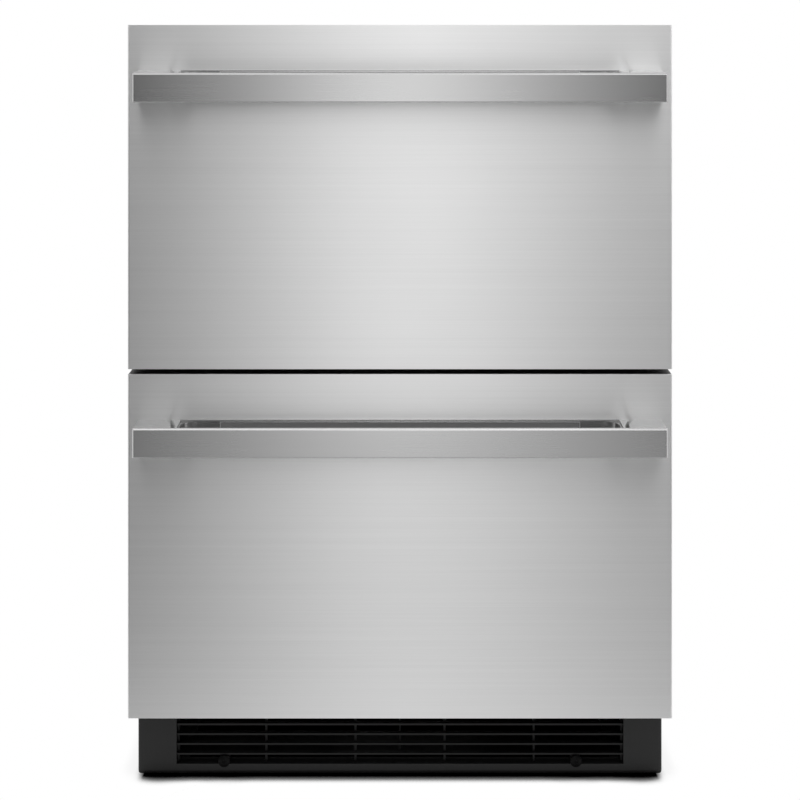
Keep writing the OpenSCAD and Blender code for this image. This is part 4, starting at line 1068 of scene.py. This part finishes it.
@dataclass
class Handle(SubAssembly):
    """One handle: its bar, its ends, its back rail and the knurled grip strip."""

    level: Level = Level.UPPER
    bar_edge: float = 0.5 * MM
    end_edge: float = 1.0 * MM
    diamond_x: float = 2.0 * MM
    diamond_z: float = 1.7 * MM
    knurl_depth: float = 0.45 * MM
    border: float = 1.1 * MM
    border_rise: float = 0.05 * MM
    border_sink: float = 0.675 * MM

    def build(self) -> None:
        """Dresses the handle and makes its grip strip."""
        level = self.level.value
        self.dress(Palette.BAR, f"{level}_handle_bar", soften=self.bar_edge)
        self.dress(Palette.ENDS, f"{level}_handle_ends", soften=self.end_edge)
        self.dress(Palette.BAR, f"{level}_handle_rail")
        self.knurled_strip()
        self.strip_border()

    def knurled_strip(self) -> bpy.types.Object:
        """Makes the grip strip with its field of small pyramids.

        Returns:
            The strip, which stands for the plain CAD strip.
        """
        node = f"{self.level.value}_handle_grip"
        low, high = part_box(node)
        shape = bmesh.new()
        self._diamonds(shape, low, high)
        add_block(shape, Vector((low.x, low.y + self.knurl_depth, low.z)), high)
        # The strip's near-black steel is painted shade for the slot behind the bar.
        strip = self.piece(f"{node}_knurled", shape, Palette.SHADED_KNURL, "knurled_steel")
        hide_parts(node)
        return strip

    def strip_border(self) -> bpy.types.Object:
        """Makes the smooth border round the grip strip's field.

        Returns:
            The border.
        """
        node = f"{self.level.value}_handle_grip"
        low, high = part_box(node)
        front_y, back_y = low.y - self.border_rise, low.y + self.border_sink
        left, right = low.x + self.border, high.x - self.border
        bottom, top = low.z + self.border, high.z - self.border
        shape = bmesh.new()
        for (x0, z0), (x1, z1) in (
            ((low.x, low.z), (high.x, bottom)),
            ((low.x, top), (high.x, high.z)),
            ((low.x, bottom), (left, top)),
            ((right, bottom), (high.x, top)),
        ):
            add_block(shape, Vector((x0, front_y, z0)), Vector((x1, back_y, z1)))
        return self.piece(f"{node}_border", shape, Palette.BORDER, "stainless")

    def _diamonds(self, shape: bmesh.types.BMesh, low: Vector, high: Vector) -> None:
        """Adds the field of pyramids on rhombic feet, cut off along the border.

        Args:
            shape: The shape to add to.
            low: The strip's lowest corner.
            high: The strip's highest corner.
        """
        columns = round((high.x - low.x) / self.diamond_x)
        rows = round((high.z - low.z) / self.diamond_z)
        half_x = (high.x - low.x) / columns / 2
        half_z = (high.z - low.z) / rows / 2
        foot_y = low.y + self.knurl_depth
        for column in range(2 * columns + 1):
            for row in range(column % 2, 2 * rows + 1, 2):
                x = low.x + column * half_x
                z = low.z + row * half_z
                feet = [
                    shape.verts.new((x + half_x, foot_y, z)),
                    shape.verts.new((x, foot_y, z + half_z)),
                    shape.verts.new((x - half_x, foot_y, z)),
                    shape.verts.new((x, foot_y, z - half_z)),
                ]
                tip = shape.verts.new((x, low.y, z))
                for index, foot in enumerate(feet):
                    shape.faces.new((foot, feet[(index + 1) % len(feet)], tip))
        inner = self.border / 2
        for point, normal in (
            ((low.x + inner, 0, 0), (-1, 0, 0)),
            ((high.x - inner, 0, 0), (1, 0, 0)),
            ((0, 0, low.z + inner), (0, 0, -1)),
            ((0, 0, high.z - inner), (0, 0, 1)),
        ):
            bmesh.ops.bisect_plane(
                shape,
                geom=[*shape.verts, *shape.edges, *shape.faces],
                plane_co=point,
                plane_no=normal,
                clear_outer=True,
            )


@dataclass
class Base(SubAssembly):
    """The kick panel, its grille and screws, the base frame and the legs."""

    legs: Sequence[str] = ("front_left", "front_right", "rear_left", "rear_right")

    def build(self) -> None:
        """Dresses the base's nodes."""
        self.dress(Palette.KICK, "kick_panel")
        self.dress(Palette.GRILLE, "kick_grille")
        self.dress(Palette.SCREW, "grille_screws")
        self.dress(Palette.BASE, "base_frame")
        self.dress(Palette.PLATED, *(f"levelling_leg_{leg}" for leg in self.legs))


@dataclass
class MachineRoom(ScrewedPanel):
    """What lies behind the base: compressor, condenser, fan, lines and the rear cover."""

    def build(self) -> None:
        """Dresses the machine compartment's nodes and screws its cover on."""
        self.cover_screws()
        self.dress(Palette.SHEET, "rear_cover")
        self.dress(Palette.GRILLE, "cord_gland", "drain_pan", "condenser_fan_shroud")
        self.dress(Palette.CAN, "compressor")
        self.dress(Palette.MOUNT, "compressor_mounts")
        self.dress(Palette.COIL, "condenser")
        self.dress(Palette.PLATED, "condenser_fan_motor")
        self.dress(Palette.FAN, "condenser_fan_blade")
        self.dress(Palette.COPPER, "refrigerant_lines")

    def cover_screws(self) -> bpy.types.Object:
        """Makes the screws down the sides and along the top of the rear cover.

        Returns:
            The screws, as one piece.
        """
        low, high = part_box("rear_cover")
        left, right, bottom, top = self._lines(low, high)
        spots = [(x, z) for x in (left, right) for z in (bottom, (low.z + high.z) / 2, top)]
        spots += [(x, top) for x in (low.x / 3, high.x / 3)]
        seats = [Vector((x, high.y, z)) for x, z in spots]
        return self.screws("rear_cover_screws", seats, Facing.BACK)


@dataclass
class ColdSide(ScrewedPanel):
    """What lies in the cold space: evaporator, cover, fan, controls, light and divider."""

    mark_stroke: float = 0.9 * MM
    mark_reach: float = 2.6 * MM
    mark_rise: float = 0.15 * MM
    window_left: float = 14.0 * MM
    window_width: float = 56.0 * MM
    window_depth: float = 1.0 * MM
    window_height: float = 12.0 * MM
    glass_gap: float = 0.2 * MM
    glass_corner: float = 1.2 * MM
    screw: ScrewHead = ScrewHead(radius=3.5 * MM, height=1.6 * MM)
    screw_inset: float = 12.0 * MM

    def build(self) -> None:
        """Dresses the cold side's nodes and makes the marks, the display and the screws."""
        self.dress(Palette.FIN, "evaporator")
        self.dress(Palette.LINER, "evaporator_cover", "control_housing", "evaporator_fan_blade")
        self.dress(Palette.FAN, "evaporator_fan_motor")
        self.dress(Palette.BUTTON, "warmer_button", "colder_button", "light_button")
        self.dress(Palette.DIVIDER, "upper_divider")
        self.dress(Palette.LENS, "light_lens")
        self.button_mark("warmer_button", upright=True)
        self.button_mark("colder_button", upright=False)
        self.lamp_mark()
        self.display_glass()
        self.cover_screws()

    def button_mark(self, button: str, upright: bool) -> bpy.types.Object:
        """Makes a raised plus or minus on a push button.

        Args:
            button: The button's node and body.
            upright: Whether the mark has an upright stroke, as a plus has.

        Returns:
            The mark.
        """
        low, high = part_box(button)
        middle = (low + high) / 2
        half = self.mark_stroke / 2
        strokes = [(self.mark_reach, half)]
        if upright:
            strokes.append((half, self.mark_reach))
        front, back = low.y - self.mark_rise, low.y + self.mark_rise
        shape = bmesh.new()
        for reach_x, reach_z in strokes:
            add_block(
                shape,
                Vector((middle.x - reach_x, front, middle.z - reach_z)),
                Vector((middle.x + reach_x, back, middle.z + reach_z)),
            )
        return self.piece(f"{button}_mark", shape, Palette.MARK, "liner_white", button)

    def lamp_mark(self) -> bpy.types.Object:
        """Makes the raised ring on the light's button.

        Returns:
            The ring.
        """
        low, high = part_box("light_button")
        middle = Vector(((low.x + high.x) / 2, low.y, (low.z + high.z) / 2))
        radii = (self.mark_reach - self.mark_stroke, self.mark_reach)
        shape = bmesh.new()
        add_ring(shape, middle, radii, 2 * self.mark_rise)
        return self.piece("light_button_mark", shape, Palette.MARK, "liner_white", "light_button")

    def display_glass(self) -> bpy.types.Object:
        """Makes the dark glass in the control housing's window.

        Returns:
            The glass.
        """
        low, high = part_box("control_housing")
        left, gap, middle = low.x + self.window_left, self.glass_gap, (low.z + high.z) / 2
        bottom, top = middle - self.window_height / 2 + gap, middle + self.window_height / 2 - gap
        shape = bmesh.new()
        add_plate(
            shape,
            Vector((left + gap, low.y + gap, bottom)),
            Vector((left + self.window_width - gap, low.y + self.window_depth, top)),
            self.glass_corner,
        )
        return self.piece("display_glass", shape, Palette.DISPLAY, "grille_black")

    def cover_screws(self) -> bpy.types.Object:
        """Makes the four screws that hold the evaporator's cover.

        Returns:
            The screws, as one piece.
        """
        low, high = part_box("evaporator_cover")
        left, right, bottom, top = self._lines(low, high)
        seats = [Vector((x, low.y, z)) for x in (left, right) for z in (bottom, top)]
        return self.screws("evaporator_cover_screws", seats, Facing.FRONT)


# ---- Studio ------------------------------------------------------------------------------------


@dataclass(frozen=True)
class Lamp:
    """A soft area lamp that the camera doesn't see: its place, aim and size, and its watts."""

    name: str
    place: tuple[float, float, float]
    aim: tuple[float, float, float]
    size: tuple[float, float]
    power: float
    in_sheen: bool = False

    def build(self) -> None:
        """Hangs the lamp and turns it to its aim."""
        data = bpy.data.lights.new(self.name, "AREA")
        data.shape = "RECTANGLE"
        data.size, data.size_y = self.size
        data.energy = self.power
        lamp = put_up(self.name, data)
        lamp.location = self.place
        ray = Vector(self.aim) - Vector(self.place)
        lamp.rotation_euler = ray.to_track_quat("-Z", "Y").to_euler()
        lamp.visible_camera = False
        lamp.visible_glossy = self.in_sheen


@dataclass(frozen=True)
class Card:
    """A glowing card that only the sheen of the steel shows."""

    name: str
    gain: float

    def build(self) -> None:
        """Puts up the card with its glow."""
        bench, material = Bench.for_material(self.name)
        bench.output(bench.glow(self.light(bench), self.gain))
        card = put_up_shape(self.name, self.shape(), material)
        card.visible_camera = False
        card.visible_diffuse = False
        card.visible_shadow = False
        card.visible_transmission = False

    def light(self, bench: Bench) -> Value | Colour:
        """The card's light before its gain, which is plain white unless the card is graded."""
        return WHITE

    def shape(self) -> bmesh.types.BMesh:
        """The card's faces, which each kind of card gives."""
        raise NotImplementedError


@dataclass(frozen=True)
class SideLights(Card):
    """The two upright lights that the bevels at the bars' ends show."""

    x: float = 2.35
    front_y: float = -0.75
    rear_y: float = 0.6
    top: float = 2.2

    def shape(self) -> bmesh.types.BMesh:
        """Makes one upright face on each side.

        Returns:
            The two faces.
        """
        shape = bmesh.new()
        for side in (-self.x, self.x):
            foot = [shape.verts.new((side, y, 0)) for y in (self.front_y, self.rear_y)]
            head = [shape.verts.new((side, y, self.top)) for y in (self.rear_y, self.front_y)]
            shape.faces.new((*foot, *head))
        return shape


@dataclass(frozen=True)
class Strip:
    """A level strip of light on the graded card.

    Its light is given at places from left to right and its weight at heights, all in metres.
    """

    light: Stops
    weight: Stops


@dataclass(frozen=True)
class GradedCard(Card):
    """The graded card before the object, with its fold on the floor and its two wings."""

    half: float = 2.4
    top: float = 2.2
    near_y: float = -0.42
    fold_y: float = -1.2
    fold_z: float = 0.006
    wing_y: float = 5.0
    low: Strip = Strip(
        (
            (-2.4, 0.16), (-1.0, 0.02), (-0.45, 0.12), (0.0, 0.33),
            (0.45, 0.18), (1.0, 0.08), (2.4, 0.16),
        ),
        ((0.0, 0.75), (0.15, 1.0), (0.5, 0.0)),
    )
    middle: Strip = Strip(
        (
            (-2.4, 0.12), (-1.2, 0.0), (-0.5, 0.0), (-0.25, 0.2), (0.0, 0.58),
            (0.25, 0.23), (0.5, 0.0), (1.2, 0.0), (2.4, 0.12),
        ),
        ((0.1, 0.0), (0.5, 1.0), (0.9, 1.0), (1.4, 0.0)),
    )
    high: Strip = Strip(
        ((-1.0, 0.3), (0.0, 0.48), (1.0, 0.92)),
        ((0.9, 0.0), (1.4, 1.0)),
    )

    def light(self, bench: Bench) -> Value | Colour:
        """Grades the card's light from left to right, differently at each height.

        Args:
            bench: The card's bench.

        Returns:
            The level of light.
        """
        across, _, upward = bench.axes((0.5 / self.half, 0, 1 / self.top), (0.5, 0, 0))
        levels = []
        for strip in (self.low, self.middle, self.high):
            stops = [((x / self.half + 1) / 2, part) for x, part in strip.light]
            weights = [(z / self.top, weight) for z, weight in strip.weight]
            levels.append(bench.ramp(across, stops) * bench.ramp(upward, weights))
        low, middle, high = levels
        return low + middle + high

    def shape(self) -> bmesh.types.BMesh:
        """Makes the fold on the floor, the upright sheet and the wings beside the object.

        Returns:
            The card's faces.
        """
        shape = bmesh.new()
        sides = (-self.half, self.half)
        profile = ((self.near_y, self.fold_z), (self.fold_y, self.fold_z), (self.fold_y, self.top))
        edges = [[shape.verts.new((x, y, z)) for x in sides] for y, z in profile]
        for low, high in zip(edges, edges[1:]):
            shape.faces.new((low[0], low[1], high[1], high[0]))
        for x, low, high in zip(sides, edges[1], edges[2]):
            rear = [shape.verts.new((x, self.wing_y, z)) for z in (self.fold_z, self.top)]
            shape.faces.new((low, high, rear[1], rear[0]))
        return shape


@dataclass(frozen=True)
class Studio:
    """The pale floor, the soft lamps, the cards that the steel reflects, and the camera.

    The floor's painted contact shadow reaches as far as contact says and fades by how much open
    sky the floor sees. It is full before the object and faint past the shadow's ends, at its
    sides. Under the object the floor is painted black, as painted shade.
    """

    camera_y: float = -2.287
    camera_z: float = 0.874
    lens: float = 80.9
    sensor: float = 36.0
    shift_down: float = 0.475
    camera_reach: float = 200.0
    ambient: float = 0.62
    floor_reach: float = 40.0
    floor_level: float = 0.9
    contact: float = 0.035
    contact_samples: int = 32
    contact_fade: Stops = ((0.62, 0.0), (0.76, 0.16), (0.92, 1.0))
    foot_half_x: float = 0.302
    foot_front_y: float = -0.2
    foot_rear_y: float = 0.318
    shadow_ends: Stops = ((0.298, 1.0), (0.306, 0.15))
    lights: Sequence[Card | Lamp] = (
        GradedCard("graded_card", 2.7),
        SideLights("side_light", 1.0),
        Lamp("overhead", (0.0, -0.6, 2.9), (0.0, 0.0, 0.6), (3.6, 2.6), 16.0),
        Lamp("ceiling", (0.0, -0.95, 2.6), (0.0, -0.95, 0.0), (1.6, 0.6), 3.0, in_sheen=True),
        Lamp("left_fill", (-2.6, -1.4, 1.5), (0.0, 0.0, 0.5), (1.2, 1.8), 8.0),
        Lamp("right_fill", (2.6, -1.4, 1.5), (0.0, 0.0, 0.5), (1.2, 1.8), 8.0),
    )

    def build(self) -> None:
        """Sets up everything round the object."""
        self.world()
        self.floor()
        for light in self.lights:
            light.build()
        self.camera()
        bpy.context.scene.view_settings.view_transform = "Standard"
        LOG.info("set the studio and the camera")

    @staticmethod
    def _seen(bench: Bench) -> Value:
        """Tells the rays that show the white background from those that light the object.

        Args:
            bench: The world's or the floor's bench.

        Returns:
            1 for rays from the camera, a mirror or a glass, else 0.
        """
        path = bench.node("ShaderNodeLightPath")
        camera, glossy, transmission = (
            Value(bench, path.outputs[f"Is {kind} Ray"])
            for kind in ("Camera", "Glossy", "Transmission")
        )
        return (camera + glossy + transmission).clamped()

    def world(self) -> None:
        """Makes the world: an even soft light that is seen as white."""
        world = bpy.data.worlds.new("studio")
        bpy.context.scene.world = world
        world.use_nodes = True
        bench = Bench(world.node_tree)
        strength = self._seen(bench) * (1.0 - self.ambient) + self.ambient
        light = bench.node("ShaderNodeBackground", {}, {"Color": WHITE, "Strength": strength})
        bench.node("ShaderNodeOutputWorld", {}, {"Surface": light.outputs[0]})

    def floor(self) -> None:
        """Makes the floor, white but for the painted shadow before and under the object."""
        bench, material = Bench.for_material("floor_white")
        open_sky = bench.value(
            "ShaderNodeAmbientOcclusion",
            {"samples": self.contact_samples},
            {"Distance": self.contact},
            "AO",
        )
        contact = 1 - bench.ramp(open_sky, self.contact_fade)
        # Painted shadow: where the contact shadow counts, and under the object, the floor is black
        # paper.
        clear = (1 - contact * self._before(bench)) * self._beside(bench)
        painted_shadow_floor = bench.blend(clear, bench.paper(BLACK), bench.paper(grey(self.floor_level)))
        bench.output(bench.blend(self._seen(bench) * clear, painted_shadow_floor, bench.glow(WHITE)))
        shape = bmesh.new()
        bmesh.ops.create_grid(shape, x_segments=1, y_segments=1, size=self.floor_reach)
        put_up_shape("floor", shape, material)

    def _before(self, bench: Bench) -> Value:
        """How strongly the painted contact shadow counts: fully before the object, less at its
        sides.
        """
        return bench.ramp(abs(bench.axes()[0]), self.shadow_ends)

    def _beside(self, bench: Bench) -> Value:
        """Marks the object's footprint on the floor, which is painted black there as shade.

        Args:
            bench: The floor's bench.

        Returns:
            0 on the floor under the object and 1 beside it.
        """
        x, y, _ = bench.axes()
        beneath = y.below(self.foot_rear_y) * (1 - y.below(self.foot_front_y))
        return 1 - abs(x).below(self.foot_half_x) * beneath

    def camera(self) -> None:
        """Makes the level camera, shifted down so that the object fills the square frame."""
        data = bpy.data.cameras.new("camera")
        data.sensor_width = self.sensor
        data.lens = self.lens
        data.shift_y = -self.shift_down
        data.clip_end = self.camera_reach
        camera = put_up("camera", data)
        camera.location = (0.0, self.camera_y, self.camera_z)
        camera.rotation_euler = (math.radians(90), 0.0, 0.0)
        bpy.context.scene.camera = camera


def main() -> None:
    """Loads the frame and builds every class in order."""
    logging.basicConfig(level=logging.INFO, format="%(name)s: %(message)s")
    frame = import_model()
    nodes = frame["nodes"]
    groups: list[SubAssembly] = [CabinetShell(nodes, "cabinet")]
    for level in Level:
        body = f"{level.value}_drawer"
        groups += [Drawer(nodes, body, level=level), Handle(nodes, body, level=level)]
    groups += [Base(nodes, "cabinet"), MachineRoom(nodes, "cabinet"), ColdSide(nodes, "cabinet")]
    for group in groups:
        group.build()
    Studio().build()


if __name__ == "__main__":
    main()
